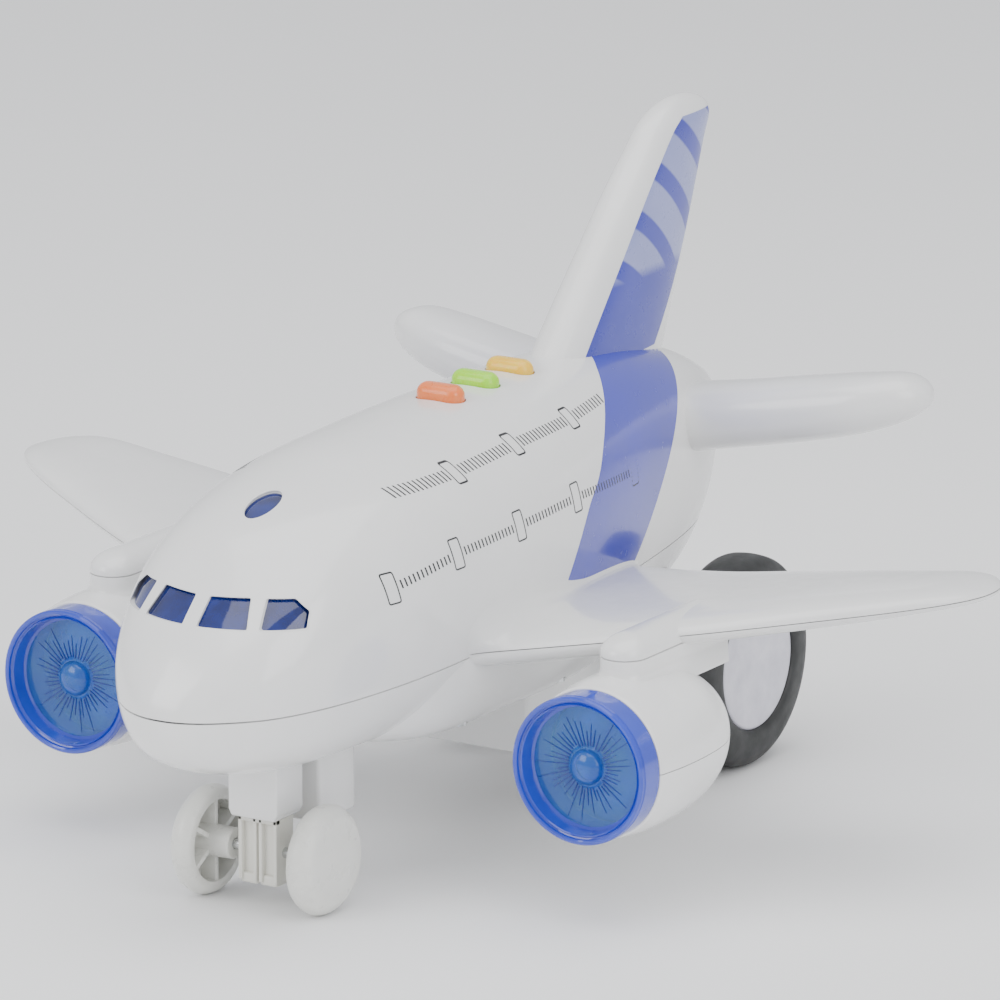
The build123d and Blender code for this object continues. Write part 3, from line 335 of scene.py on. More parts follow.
def mirrored(mesh):
    """A copy of a bmesh mirrored to the other side of the airplane."""
    copy = mesh.copy()
    bmesh.ops.scale(copy, vec=(-1, 1, 1), verts=copy.verts)
    bmesh.ops.reverse_faces(copy, faces=copy.faces)
    return copy


def halved(mesh, point, normal, gap, fill=True):
    """The bmesh cut by a plane: what lies on the normal's side, `gap` away from the plane."""
    normal = Vector(normal).normalized()
    bmesh.ops.bisect_plane(mesh, geom=mesh.verts[:] + mesh.edges[:] + mesh.faces[:],
                           plane_co=Vector(point) + normal * gap, plane_no=normal, clear_inner=True)
    if fill:
        rim = [edge for edge in mesh.edges if edge.is_boundary]
        bmesh.ops.holes_fill(mesh, edges=rim)
    return mesh


def modified(mesh, kind, **settings):
    """The bmesh after one Blender modifier."""
    scratch = bpy.data.meshes.new("scratch")
    mesh.to_mesh(scratch)
    mesh.free()
    holder = bpy.data.objects.new("scratch", scratch)
    bpy.context.scene.collection.objects.link(holder)
    modifier = holder.modifiers.new(kind.lower(), kind)
    for name, value in settings.items():
        setattr(modifier, name, value)
    graph = bpy.context.evaluated_depsgraph_get()
    result = bmesh.new()
    result.from_object(holder, graph)
    bpy.data.objects.remove(holder)
    bpy.data.meshes.remove(scratch)
    return result


def cut_by(mesh, tool, operation="DIFFERENCE"):
    """The bmesh with another one cut out of it, or joined to it."""
    scratch = bpy.data.meshes.new("tool")
    tool.to_mesh(scratch)
    tool.free()
    holder = bpy.data.objects.new("tool", scratch)
    bpy.context.scene.collection.objects.link(holder)
    result = modified(mesh, "BOOLEAN", object=holder, operation=operation, solver="EXACT")
    bpy.data.objects.remove(holder)
    bpy.data.meshes.remove(scratch)
    return result


def walled(mesh, thickness=WALL):
    return modified(mesh, "SOLIDIFY", thickness=thickness, offset=-1.0)


def box(x0, x1, y0, y1, z0, z1, round_off=0.0):
    """A box between two corners, its edges rounded off."""
    mesh = bmesh.new()
    corners = [(x, y, z) for x in (x0, x1) for y in (y0, y1) for z in (z0, z1)]
    v = [mesh.verts.new(corner) for corner in corners]
    for quad in ((0, 1, 3, 2), (4, 6, 7, 5), (0, 4, 5, 1), (2, 3, 7, 6), (0, 2, 6, 4), (1, 5, 7, 3)):
        mesh.faces.new([v[i] for i in quad])
    bmesh.ops.recalc_face_normals(mesh, faces=mesh.faces)
    if round_off:
        bmesh.ops.bevel(mesh, geom=mesh.edges[:], offset=round_off, segments=3, profile=0.5,
                        affect="EDGES")
    return mesh


def prism(outline, place, direction, round_off=0.0):
    """A closed outline of 3-D points pushed along a vector."""
    mesh = bmesh.new()
    face = mesh.faces.new([mesh.verts.new(place(point)) for point in outline])
    made = bmesh.ops.extrude_face_region(mesh, geom=[face])
    moved = [item for item in made["geom"] if isinstance(item, bmesh.types.BMVert)]
    bmesh.ops.translate(mesh, vec=Vector(direction), verts=moved)
    bmesh.ops.recalc_face_normals(mesh, faces=mesh.faces)
    if round_off:
        bmesh.ops.bevel(mesh, geom=mesh.edges[:], offset=round_off, segments=3, profile=0.5,
                        affect="EDGES")
    return mesh


def rounded_polygon(corners, radius, steps=5):
    """The polygon's outline with its corners rounded, as a list of 2-D points."""
    points = []
    for index, corner in enumerate(corners):
        here = Vector(corner)
        before = (Vector(corners[index - 1]) - here).normalized()
        after = (Vector(corners[(index + 1) % len(corners)]) - here).normalized()
        for step in range(steps + 1):
            t = step / steps
            start, end = here + before * radius, here + after * radius
            points.append(tuple(start.lerp(here, t).lerp(here.lerp(end, t), t)))
    return points


def spread(points, spacing):
    """The closed outline with points added so that none are further apart than `spacing`."""
    result = []
    for index, point in enumerate(points):
        here, following = Vector(point), Vector(points[(index + 1) % len(points)])
        pieces = max(1, math.ceil((following - here).length / spacing))
        result += [tuple(here.lerp(following, k / pieces)) for k in range(pieces)]
    return result


def tube(path, radius, sides=10):
    """A closed round tube along a closed path of 3-D points."""
    path = [Vector(point) for point in path]
    count = len(path)
    rings = []
    for index, here in enumerate(path):
        along = (path[(index + 1) % count] - path[index - 1]).normalized()
        across = along.cross(Vector((0.3, -0.2, 1))).normalized()
        up = along.cross(across)
        rings.append([here + radius * (math.cos(a) * across + math.sin(a) * up)
                      for a in (2 * math.pi * k / sides for k in range(sides))])
    mesh = bmesh.new()
    rows = [[mesh.verts.new(point) for point in ring] for ring in rings]
    for index in range(count):
        band_of_faces(mesh, rows[index], rows[(index + 1) % count])
    bmesh.ops.recalc_face_normals(mesh, faces=mesh.faces)
    return mesh


def stadium(x, y, length, width, inset, steps=12):
    """Outline of a slot whose long side runs along X."""
    radius = width / 2 - inset
    reach = length / 2 - width / 2
    points = []
    for index in range(2 * steps + 2):
        turn = index // (steps + 1)
        angle = -math.pi / 2 + math.pi * (index - turn) / steps
        points.append((x + (reach if turn == 0 else -reach) + radius * math.cos(angle),
                       y + radius * math.sin(angle)))
    return points


def sheet_mesh(rows, thickness):
    """A grid of points given a small thickness on its inner side."""
    mesh = bmesh.new()
    grid = [[mesh.verts.new(point) for point in row] for row in rows]
    for near, far in zip(grid, grid[1:]):
        for i in range(len(near) - 1):
            mesh.faces.new((near[i], near[i + 1], far[i + 1], far[i]))
    return modified(mesh, "SOLIDIFY", thickness=thickness, offset=-1.0)


def piece(name, mesh, body, material, replaces=(), sharp=40):
    """Turn a bmesh in millimetres into a finished object that rides on a body."""
    bmesh.ops.scale(mesh, vec=(MM, MM, MM), verts=mesh.verts)
    data = bpy.data.meshes.new(name)
    mesh.to_mesh(data)
    mesh.free()
    data.polygons.foreach_set("use_smooth", [True] * len(data.polygons))
    data.set_sharp_from_angle(angle=math.radians(sharp))
    data.materials.append(material)
    made = bpy.data.objects.new(name, data)
    bpy.context.scene.collection.objects.link(made)
    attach(made, body)
    if replaces:
        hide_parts(*replaces)
    return made


def piece_pair(name, mesh, body, material, replaces=(), sharp=40):
    """A port piece and its mirror image; `replaces` names nodes without their side."""
    other = mirrored(mesh)
    for side, half in (("port", mesh), ("starboard", other)):
        piece(f"{name}_{side}", half, body, material,
              [f"{node}_{side}" for node in replaces], sharp)


# ------------------------------------------------------------------ materials
class Shader:
    """Short ways to build a Principled material."""

    def __init__(self, name):
        self.material = bpy.data.materials.new(name)
        self.material.use_nodes = True
        self.tree = self.material.node_tree
        self.nodes = self.tree.nodes
        self.surface = self.nodes["Principled BSDF"]
        self.place = self.nodes.new("ShaderNodeTexCoord").outputs["Object"]

    def link(self, source, target):
        self.tree.links.new(source, target)

    def set(self, **values):
        for name, value in values.items():
            self.surface.inputs[name.replace("_", " ")].default_value = value
        return self

    def noise(self, scale, detail=3.0, roughness=0.55, stretch=None):
        node = self.nodes.new("ShaderNodeTexNoise")
        node.inputs["Scale"].default_value = scale
        node.inputs["Detail"].default_value = detail
        node.inputs["Roughness"].default_value = roughness
        source = self.place
        if stretch:
            mapping = self.nodes.new("ShaderNodeMapping")
            mapping.inputs["Scale"].default_value = stretch
            self.link(source, mapping.inputs["Vector"])
            source = mapping.outputs["Vector"]
        self.link(source, node.inputs["Vector"])
        return node.outputs["Fac"]

    def ranged(self, value, low, high, source_low=0.3, source_high=0.7):
        node = self.nodes.new("ShaderNodeMapRange")
        for name, number in (("From Min", source_low), ("From Max", source_high),
                             ("To Min", low), ("To Max", high)):
            node.inputs[name].default_value = number
        self.link(value, node.inputs["Value"])
        return node.outputs["Result"]

    def mix(self, factor, first, second):
        """Blend two colours; each is a colour or a socket."""
        node = self.nodes.new("ShaderNodeMix")
        node.data_type = "RGBA"
        self.link(factor, node.inputs[0])
        for socket, colour in ((node.inputs[6], first), (node.inputs[7], second)):
            if isinstance(colour, tuple):
                socket.default_value = (*colour, 1.0)
            else:
                self.link(colour, socket)
        return node.outputs[2]

    def colour(self, source):
        self.link(source, self.surface.inputs["Base Color"])
        return self

    def roughness(self, source):
        self.link(source, self.surface.inputs["Roughness"])
        return self

    def bump(self, source, distance, strength=1.0):
        node = self.nodes.new("ShaderNodeBump")
        node.inputs["Distance"].default_value = distance
        node.inputs["Strength"].default_value = strength
        self.link(source, node.inputs["Height"])
        previous = self.surface.inputs["Normal"]
        if previous.is_linked:
            self.link(previous.links[0].from_socket, node.inputs["Normal"])
        self.link(node.outputs["Normal"], previous)
        return self


def moulded(name, light, dark, rough=(0.2, 0.3), mottle=60, grain=0.00003, **settings):
    """Injection-moulded plastic: faint mottling, uneven gloss, a fine orange-peel surface."""
    shader = Shader(name)
    shader.colour(shader.mix(shader.ranged(shader.noise(mottle, 4.0), 0, 1), light, dark))
    shader.roughness(shader.ranged(shader.noise(220, 3.0), *rough))
    shader.bump(shader.noise(900, 2.0), grain, 0.5)
    return shader.set(**settings).material


white_shell = moulded("white_shell_plastic", (0.86, 0.86, 0.855), (0.83, 0.83, 0.825), (0.16, 0.24),
                      45, 0.00002, Coat_Weight=0.35, Coat_Roughness=0.06)
cream = moulded("cream_plastic", (0.80, 0.79, 0.73), (0.76, 0.75, 0.68), (0.28, 0.4), 90, 0.00003)
grey_disc = moulded("wheel_white_plastic", (0.78, 0.78, 0.74), (0.73, 0.73, 0.69), (0.25, 0.34), 120,
                    0.00003)
blue_paint = moulded("blue_paint", (0.035, 0.045, 0.50), (0.045, 0.055, 0.43), (0.2, 0.28), 30, 0.00001,
                     Coat_Weight=0.5, Coat_Roughness=0.08)
print_ink = moulded("black_print_ink", (0.012, 0.012, 0.014), (0.03, 0.03, 0.032), (0.35, 0.5), 500,
                    0.00001)
hub_plastic = moulded("hub_plastic", (0.74, 0.73, 0.80), (0.60, 0.59, 0.67), (0.3, 0.45), 130, 0.00006)
tyre_rubber = moulded("tyre_rubber", (0.018, 0.019, 0.019), (0.03, 0.031, 0.031), (0.42, 0.58), 180,
                      0.00006)
gear_plastic = moulded("gear_plastic", (0.80, 0.79, 0.74), (0.74, 0.73, 0.68), (0.35, 0.45))
silicone = moulded("silicone_pad", (0.62, 0.62, 0.60), (0.55, 0.55, 0.53), (0.5, 0.62))
epoxy = moulded("epoxy_blob", (0.010, 0.010, 0.011), (0.025, 0.025, 0.026), (0.15, 0.3))
cell_wrap = moulded("cell_wrap", (0.03, 0.16, 0.10), (0.02, 0.12, 0.07), (0.25, 0.35))


def metal(name, light, dark, rough, scratches=(600, 60, 600)):
    """Drawn or rolled metal with fine streaks."""
    shader = Shader(name)
    streaks = shader.noise(1.0, 4.0, 0.6, scratches)
    shader.colour(shader.mix(shader.ranged(streaks, 0, 1), light, dark))
    shader.roughness(shader.ranged(shader.noise(300, 3.0), *rough))
    shader.bump(streaks, 0.00002, 0.4)
    return shader.set(Metallic=1.0).material


steel = metal("steel", (0.72, 0.73, 0.74), (0.55, 0.56, 0.57), (0.18, 0.34))
speaker_metal = metal("speaker_metal", (0.50, 0.50, 0.48), (0.36, 0.36, 0.35), (0.3, 0.5))


def circuit_board_material():
    """Green solder mask over faint copper tracks."""
    shader = Shader("circuit_board")
    tracks = shader.ranged(shader.noise(1.0, 0.0, 0.5, (400, 1200, 400)), 0, 1, 0.48, 0.52)
    shader.colour(shader.mix(tracks, (0.010, 0.10, 0.035), (0.018, 0.16, 0.05)))
    shader.roughness(shader.ranged(shader.noise(260), 0.28, 0.4))
    shader.bump(tracks, 0.00005)
    return shader.material


def clear_plastic(name, light, dark, transmission, rough=(0.04, 0.1), mottle=70, **settings):
    """Tinted see-through plastic with slight flow marks."""
    shader = Shader(name)
    shader.colour(shader.mix(shader.ranged(shader.noise(mottle, 3.0), 0, 1), light, dark))
    shader.roughness(shader.ranged(shader.noise(150, 3.0), *rough))
    shader.bump(shader.noise(130, 2.0), 0.00008, 0.5)
    return shader.set(Transmission_Weight=transmission, IOR=1.5, **settings).material


circuit_board = circuit_board_material()
lens_ring_blue = clear_plastic("blue_clear_ring", (0.045, 0.10, 0.80), (0.03, 0.07, 0.66), 0.35,
                               Coat_Weight=0.6, Coat_Roughness=0.04)
lens_disc_blue = clear_plastic("blue_clear_disc", (0.10, 0.42, 0.92), (0.06, 0.26, 0.85), 0.75,
                               (0.05, 0.14))
blade_blue = clear_plastic("blue_clear_blades", (0.02, 0.08, 0.45), (0.01, 0.05, 0.35), 0.4)
window_blue = clear_plastic("blue_clear_windows", (0.006, 0.03, 0.30), (0.003, 0.012, 0.12), 0.3,
                            (0.03, 0.08), 130, Coat_Weight=0.8, Coat_Roughness=0.03)


def foil_material():
    """Crinkled reflective film that shifts from blue to green."""
    shader = Shader("reflector_foil")
    patches = shader.ranged(shader.noise(95, 3.0, 0.6), 0, 1, 0.35, 0.65)
    shader.colour(shader.mix(patches, (0.30, 0.75, 0.70), (0.20, 0.45, 0.95)))
    shader.roughness(shader.ranged(shader.noise(400), 0.25, 0.5))
    shader.bump(shader.noise(260, 3.0), 0.0005, 0.7)
    return shader.set(Metallic=0.75).material


foil = foil_material()
led_epoxy = clear_plastic("led_epoxy", (0.85, 0.90, 1.0), (0.75, 0.82, 0.95), 0.6)


def button_plastic(name, light, dark):
    """Soft translucent plastic that glows a little from within."""
    shader = Shader(name)
    shader.colour(shader.mix(shader.ranged(shader.noise(160, 3.0), 0, 1), light, dark))
    shader.roughness(shader.ranged(shader.noise(250), 0.22, 0.32))
    shader.bump(shader.noise(900, 2.0), 0.00002, 0.5)
    return shader.set(Subsurface_Weight=0.35, Subsurface_Scale=0.003, Coat_Weight=0.3,
                      Coat_Roughness=0.1).material


button_colours = {
    "orange": button_plastic("button_orange_plastic", (0.92, 0.24, 0.06), (0.85, 0.19, 0.04)),
    "green": button_plastic("button_green_plastic", (0.42, 0.86, 0.02), (0.34, 0.78, 0.01)),
    "yellow": button_plastic("button_yellow_plastic", (0.95, 0.60, 0.05), (0.90, 0.52, 0.03)),
}

# ------------------------------------------------------------------ upper shell and wings
FUSELAGE_RINGS = 150
FAIRING_RINGS = 70
FIN_RINGS = 50
RING_STEPS = 30
LAST_SHARE = 0.985            # a wing-like skin is closed by a fan from here to its tip


def fuselage_skin():
    rings = []
    for index in range(FUSELAGE_RINGS):
        angle = math.pi * (0.006 + 0.988 * index / (FUSELAGE_RINGS - 1))
        y, half_width, low, widest, high = smooth_row(FUSELAGE, fuselage_parameter,
                                                      -HALF_LENGTH * math.cos(angle))
        rings.append([(x, y, z) for x, z in egg(-half_width, half_width, low, high, 0,
                                                middle=widest, steps=RING_STEPS)])
    return skin(rings)


def plank_point(table, parameter, crest, x, index, steps):
    """Point `index` round a wing-like section at x."""
    _, front, rear, low, high = smooth_row(table, parameter, x)
    y, z = egg(front, rear, low, high, front + crest * (rear - front), steps=steps)[index]
    return Vector((x, y, z))


def wing_skin(steps=22, columns=40, flare_steps=7):
    """The port wing, flared where it meets the fuselage."""
    parameter = tip_parameter(WING)
    tracks = []
    for index in range(4 * steps):
        x = 36.0
        for _ in range(8):
            point = plank_point(WING, parameter, WING_CREST, x, index, steps)
            x = max(20.0, body_x(point.y, point.z))
        after = plank_point(WING, parameter, WING_CREST, x, (index + 1) % (4 * steps), steps)
        before = plank_point(WING, parameter, WING_CREST, x, index - 1, steps)
        along = (after - before).normalized()
        outward = Vector((0, along.z, -along.y))
        rise = max(0.0, outward.z)
        back = min(1.0, max(0.0, (point.y - FILLET_FADE[0]) / (FILLET_FADE[1] - FILLET_FADE[0])))
        fillet = 1.2 + (WING_FILLET - 1.2) * (1 - back * back * (3 - 2 * back))
        radius = 0.5 + fillet * rise * rise * (3 - 2 * rise)
        track = []
        for step in range(flare_steps):
            angle = math.pi / 2 * (1 - step / flare_steps)
            base = plank_point(WING, parameter, WING_CREST, x + radius * (1 - math.sin(angle)), index,
                               steps)
            base += outward * radius * (1 - math.cos(angle))
            base.x = body_x(base.y, base.z) + radius * (1 - math.sin(angle)) - 0.04
            track.append(base)
        inner = track[0].copy()
        inner.x -= 1.4
        track.insert(0, inner)
        start = parameter(x + radius)
        for column in range(columns):
            share = start + (LAST_SHARE - start) * column / (columns - 1)
            track.append(plank_point(WING, parameter, WING_CREST, tip_place(WING, share), index, steps))
        tracks.append(track)
    return skin([[track[k] for track in tracks] for k in range(len(tracks[0]))])


(seam_x0, seam_z0), (seam_x1, seam_z1) = WING_SEAM
seam_point = (seam_x0, 0, seam_z0)
seam_normal = (-(seam_z1 - seam_z0), 0, seam_x1 - seam_x0)

wing = wing_skin()
wing_top = halved(wing.copy(), seam_point, seam_normal, THIN_GAP)
wing_bottom = halved(wing, seam_point, [-part for part in seam_normal], THIN_GAP)


def pylon_cap():
    """Domed cap over an engine pylon, part of the wing's top."""
    rings = []
    low = PYLON_SEAM_Z + 0.1
    shoulder = CAP_TOP_Z - CAP_ROUNDING
    length = CAP_REAR_Y - PYLON_FRONT_Y
    centre = (PYLON_FRONT_Y + CAP_REAR_Y) / 2
    levels = [(low, 0.25), (low + 0.25, 0.0), (shoulder, 0.0)]
    levels += [(shoulder + CAP_ROUNDING * math.sin(a), CAP_INSET * (1 - math.cos(a)))
               for a in (math.pi / 2 * k / 10 for k in range(1, 11))]
    for z, inset in levels:
        outline = stadium(0, 0, length, 2 * PYLON_HALF_WIDTH, min(inset, PYLON_HALF_WIDTH - 0.3))
        lean = 0.0 if z <= shoulder else CAP_LEAN * inset / CAP_INSET
        rings.append([(ENGINE_X + v, centre + u + max(0.0, -u / length) * lean, z)
                      for u, v in outline])
    return skin(rings)


cap = pylon_cap()
wing_tops = joined(wing_top, cap)
upper = walled(halved(fuselage_skin(), (0, 0, SEAM_Z), (0, 0, 1), SEAM_GAP, fill=False))
cutters = []
for corners in WINDOWS:
    for side in (1, -1):
        outline = rounded_polygon([(side * x, z) for x, z in corners], WINDOW_CORNER)
        cutters.append(prism(outline, lambda p: (p[0], -150, p[1]), (0, 55, 0)))
half_x, half_y = TOP_WINDOW_HALF
oval = [(half_x * math.cos(a), half_y * math.sin(a)) for a in (2 * math.pi * k / 48 for k in range(48))]
cutters.append(prism(oval, lambda p: (p[0], TOP_WINDOW_Y + p[1], 100), (0, 0, 30)))
for button_y in BUTTON_YS.values():
    slot_outline = stadium(0, button_y, BUTTON_LENGTH, BUTTON_WIDTH, -BUTTON_CLEARANCE)
    cutters.append(prism(slot_outline, lambda p: (p[0], p[1], 112), (0, 0, 16)))
upper = cut_by(upper, joined(*cutters))

# rounded lips round the cockpit windows
lips = []
for corners in WINDOWS:
    for side in (1, -1):
        outline = spread(rounded_polygon([(side * x, z) for x, z in corners], WINDOW_CORNER), 0.5)
        lips.append(tube([(x, nose_y(x, z) + 0.25, z) for x, z in outline], 0.25))
oval_path = spread(oval, 0.7)
lips.append(tube([(x, TOP_WINDOW_Y + y, top_z(x, TOP_WINDOW_Y + y) - 0.30) for x, y in oval_path], 0.36))
upper = joined(upper, wing_tops.copy(), mirrored(wing_tops), *lips)
wing_tops.free()
piece("upper_shell_skin", upper, "airframe", white_shell, ["upper_shell"])
piece_pair("wing_underside_skin", wing_bottom, "airframe", white_shell, ["wing_underside"])


# ------------------------------------------------------------------ lower shell
def fairing_skin():
    rings = []
    for index in range(FAIRING_RINGS):
        y = FAIRING[0][0] + (FAIRING[-1][0] - FAIRING[0][0]) * index / (FAIRING_RINGS - 1)
        _, half_width, low = smooth_row(FAIRING, plain, y)
        rings.append([(x, y, z) for x, z in egg(-half_width, half_width, low, 90, 0, FAIRING_FULLNESS,
                                                64, RING_STEPS)])
    return skin(rings)


SCREWS = [(0, -106, 43.6), (28, -38, 43.4), (-28, -38, 43.4), (27.4, 14, 43.4), (-27.4, 14, 43.4),
          (0, 116, 54.6)]
SPEAKER_Y = -34.0
GRILLE_RINGS = ((0.0, 1), (4.4, 6), (8.8, 12))     # ring radius, holes in it
SCREW_RECESS_RADIUS = 2.9
GRILLE_HOLE_RADIUS = 1.1
# boxes under the fuselage: x from, x to, y from, y to, z from, z to, rounding
BATTERY_BAY = (-25.8, 25.8, 2, 66, 22.7, 42.5, 1.2)
MOTOR_BAY = (-16, 16, 65.9, 106, 19.4, 50.0, 1.4)
STOP_BLOCK = (-8.0, 8.0, -76, -58, 19.8, 46, 1.3)
NOSE_HOUSING = [(-7.9, 46), (7.9, 46), (7.9, 27.0), (6.9, 25.2), (-6.9, 25.2), (-7.9, 27.0)]     # x, z
NOSE_HOUSING_DEPTH = 13


def upright(x, y, radius, z0, z1, steps=24):
    """A cylinder along Z."""
    circle = [(x + radius * math.cos(a), y + radius * math.sin(a))
              for a in (2 * math.pi * k / steps for k in range(steps))]
    return prism(circle, lambda p: (p[0], p[1], z0), (0, 0, z1 - z0))


lower = walled(halved(fuselage_skin(), (0, 0, SEAM_Z), (0, 0, -1), SEAM_GAP, fill=False))
fairing = walled(halved(fairing_skin(), (0, 0, SEAM_Z), (0, 0, -1), SEAM_GAP, fill=False))
holes = [upright(x, y, SCREW_RECESS_RADIUS, 15, z) for x, y, z in SCREWS]
for ring_radius, count in GRILLE_RINGS:
    for index in range(count):
        angle = 2 * math.pi * index / count
        holes.append(upright(ring_radius * math.cos(angle), SPEAKER_Y + ring_radius * math.sin(angle),
                             GRILLE_HOLE_RADIUS, 30, 42, 14))
drills = joined(*holes)
lower = cut_by(lower, drills.copy())
fairing = cut_by(fairing, drills)
bays = [
    box(*BATTERY_BAY),
    box(*MOTOR_BAY),
    box(*STOP_BLOCK),
    prism(NOSE_HOUSING, lambda p: (p[0], NOSE_WHEEL_Y - NOSE_HOUSING_DEPTH / 2, p[1]),
          (0, NOSE_HOUSING_DEPTH, 0), 0.6),
]
lower = joined(lower, fairing, *bays)
piece("lower_shell_skin", lower, "airframe", white_shell, ["lower_shell"])


# ------------------------------------------------------------------ tail
def plank_skin(table, crest, steps=20, columns=44):
    parameter = tip_parameter(table)
    rings = []
    for column in range(columns):
        place = tip_place(table, LAST_SHARE * column / (columns - 1))
        rings.append([plank_point(table, parameter, crest, place, index, steps)
                      for index in range(4 * steps)])
    return skin(rings)


piece_pair("stabiliser_skin", plank_skin(STABILISER, STABILISER_CREST), "airframe", white_shell,
           ["stabiliser"])

fin_parameter = tip_parameter(FIN)


def fin_ring(z, steps=22):
    _, front, rear, half = smooth_row(FIN, fin_parameter, z)
    outline = egg(-half, half, front, rear, 0, middle=front + FIN_CREST * (rear - front), steps=steps)
    return [(x, y, z) for x, y in outline]


fin_rings = []
for column in range(FIN_RINGS):
    fin_rings.append(fin_ring(tip_place(FIN, LAST_SHARE * column / (FIN_RINGS - 1))))
piece("tail_fin_skin", skin(fin_rings), "airframe", white_shell, ["tail_fin"])


def fin_x(y, z):
    """Half thickness of the fin at (y, z)."""
    _, front, rear, half = smooth_row(FIN, fin_parameter, z)
    return side_x(half, front, front + FIN_CREST * (rear - front), rear, FULLNESS, y)


# blue panel on the fin's sides: z, share of the chord where it starts, share where it ends
FIN_PANEL = [(118.0, 0.17, 0.80), (134.6, 0.185, 0.88), (157.5, 0.21, 0.90), (170.0, 0.23, 0.91),
             (178.0, 0.27, 0.92), (181.0, 0.36, 0.90)]


def swoosh_material():
    """Blue panel paint with three pale curved stripes."""
    shader = Shader("fin_panel_paint")
    split = shader.nodes.new("ShaderNodeSeparateXYZ")
    shader.link(shader.place, split.inputs[0])

    def arithmetic(operation, first, second):
        node = shader.nodes.new("ShaderNodeMath")
        node.operation = operation
        for socket, value in zip(node.inputs, (first, second)):
            if isinstance(value, float):
                socket.default_value = value
            else:
                shader.link(value, socket)
        return node.outputs[0]

    across = arithmetic("SUBTRACT", split.outputs["Y"], 0.060)
    rise = arithmetic("SUBTRACT", split.outputs["Z"], 0.100)
    radius = arithmetic("SQRT", arithmetic("ADD", arithmetic("MULTIPLY", across, across),
                                           arithmetic("MULTIPLY", rise, rise)), 0.0)
    stripe = arithmetic("PINGPONG", arithmetic("MULTIPLY", radius, 62.0), 0.5)
    stripe = shader.ranged(stripe, 0, 1, 0.16, 0.2)
    upper_part = shader.ranged(split.outputs["Z"], 0, 1, 0.139, 0.142)
    mask = arithmetic("MULTIPLY", stripe, upper_part)
    base = shader.mix(shader.ranged(shader.noise(30), 0, 1), (0.045, 0.055, 0.44), (0.035, 0.045, 0.38))
    pale = shader.mix(shader.ranged(shader.noise(60), 0, 1), (0.30, 0.33, 0.62), (0.26, 0.29, 0.58))
    shader.colour(shader.mix(mask, base, pale))
    shader.roughness(shader.ranged(shader.noise(220), 0.25, 0.34))
    return shader.set(Coat_Weight=0.3, Coat_Roughness=0.12).material


panel_rows = []
for step in range(60):
    z = FIN_PANEL[0][0] + (FIN_PANEL[-1][0] - FIN_PANEL[0][0]) * step / 59
    _, start, end = smooth_row(FIN_PANEL, plain, z)
    _, front, rear, _ = smooth_row(FIN, fin_parameter, z)
    row = []
    for k in range(25):
        y = front + (rear - front) * (start + (end - start) * k / 24)
        row.append((fin_x(y, z) + PRINT_LIFT, y, z))
    panel_rows.append(row)
piece_pair("fin_panel", sheet_mesh(panel_rows, PAINT_THICKNESS), "airframe", swoosh_material())

# ------------------------------------------------------------------ painted band and printed marks
# blue band: z, y of its front edge, y of its rear edge
BAND = [(66.0, 4.6, 57.2), (75.6, 10.1, 66.2), (82.9, 14.8, 73.1), (91.6, 21.3, 81.2), (96.9, 28.0, 86.2),
        (105.8, 37.2, 94.6), (114.2, 48.2, 102.5), (120.1, 58.2, 108.0), (122.9, 67.2, 110.5)]
band_rows = []
for step in range(70):
    z = BAND[0][0] + (BAND[-1][0] - BAND[0][0]) * (1 - (1 - step / 69) ** 2)
    _, front, rear = smooth_row(BAND, plain, z)
    row = []
    for k in range(41):
        y = front + (rear - front) * k / 40
        height = min(z, smooth_row(FUSELAGE, fuselage_parameter, y)[4] - 0.04)
        row.append((fuselage_x(y, height) + PRINT_LIFT, y, height + 0.02))
    band_rows.append(row)
piece_pair("paint_band", sheet_mesh(band_rows, PAINT_THICKNESS), "airframe", blue_paint)

# rows of printed doors: (y, z) of the door centres, and where the ticks start and end
LOWER_DOORS = [(-83.9, 91.6), (-54.3, 94.9), (-20.7, 95.2), (13.2, 95.5), (53.2, 93.8)]
UPPER_DOORS = [(-38.7, 112.7), (-7.0, 113.8), (25.7, 114.1)]
UPPER_ENDS = [(-66.0, 112.4), (46.8, 115.1)]
DOOR_SIZE = (5.0, 8.6)
UPPER_DOOR_SIZE = (4.6, 5.4)
LINE = 0.42
TICK = (0.55, 2.3)
TICK_PITCH = 1.75


def on_skin(y, z, lift=PRINT_LIFT):
    return (fuselage_x(y, z) + lift, y, z)


def ring_print(outer, inner):
    """A flat printed ring between two outlines of (y, z) points."""
    mesh = bmesh.new()
    rows = [[mesh.verts.new(on_skin(*point)) for point in outline] for outline in (outer, inner)]
    band_of_faces(mesh, *rows)
    return mesh


def door_outline(y, z, size, shrink, slant=0.16):
    width, height = size[0] / 2 - shrink, size[1] / 2 - shrink
    corners = [(y - width + slant * height, z - height), (y + width + slant * height, z - height),
               (y + width - slant * height, z + height), (y - width - slant * height, z + height)]
    return spread(rounded_polygon(corners, 0.9 - shrink), 1.2)


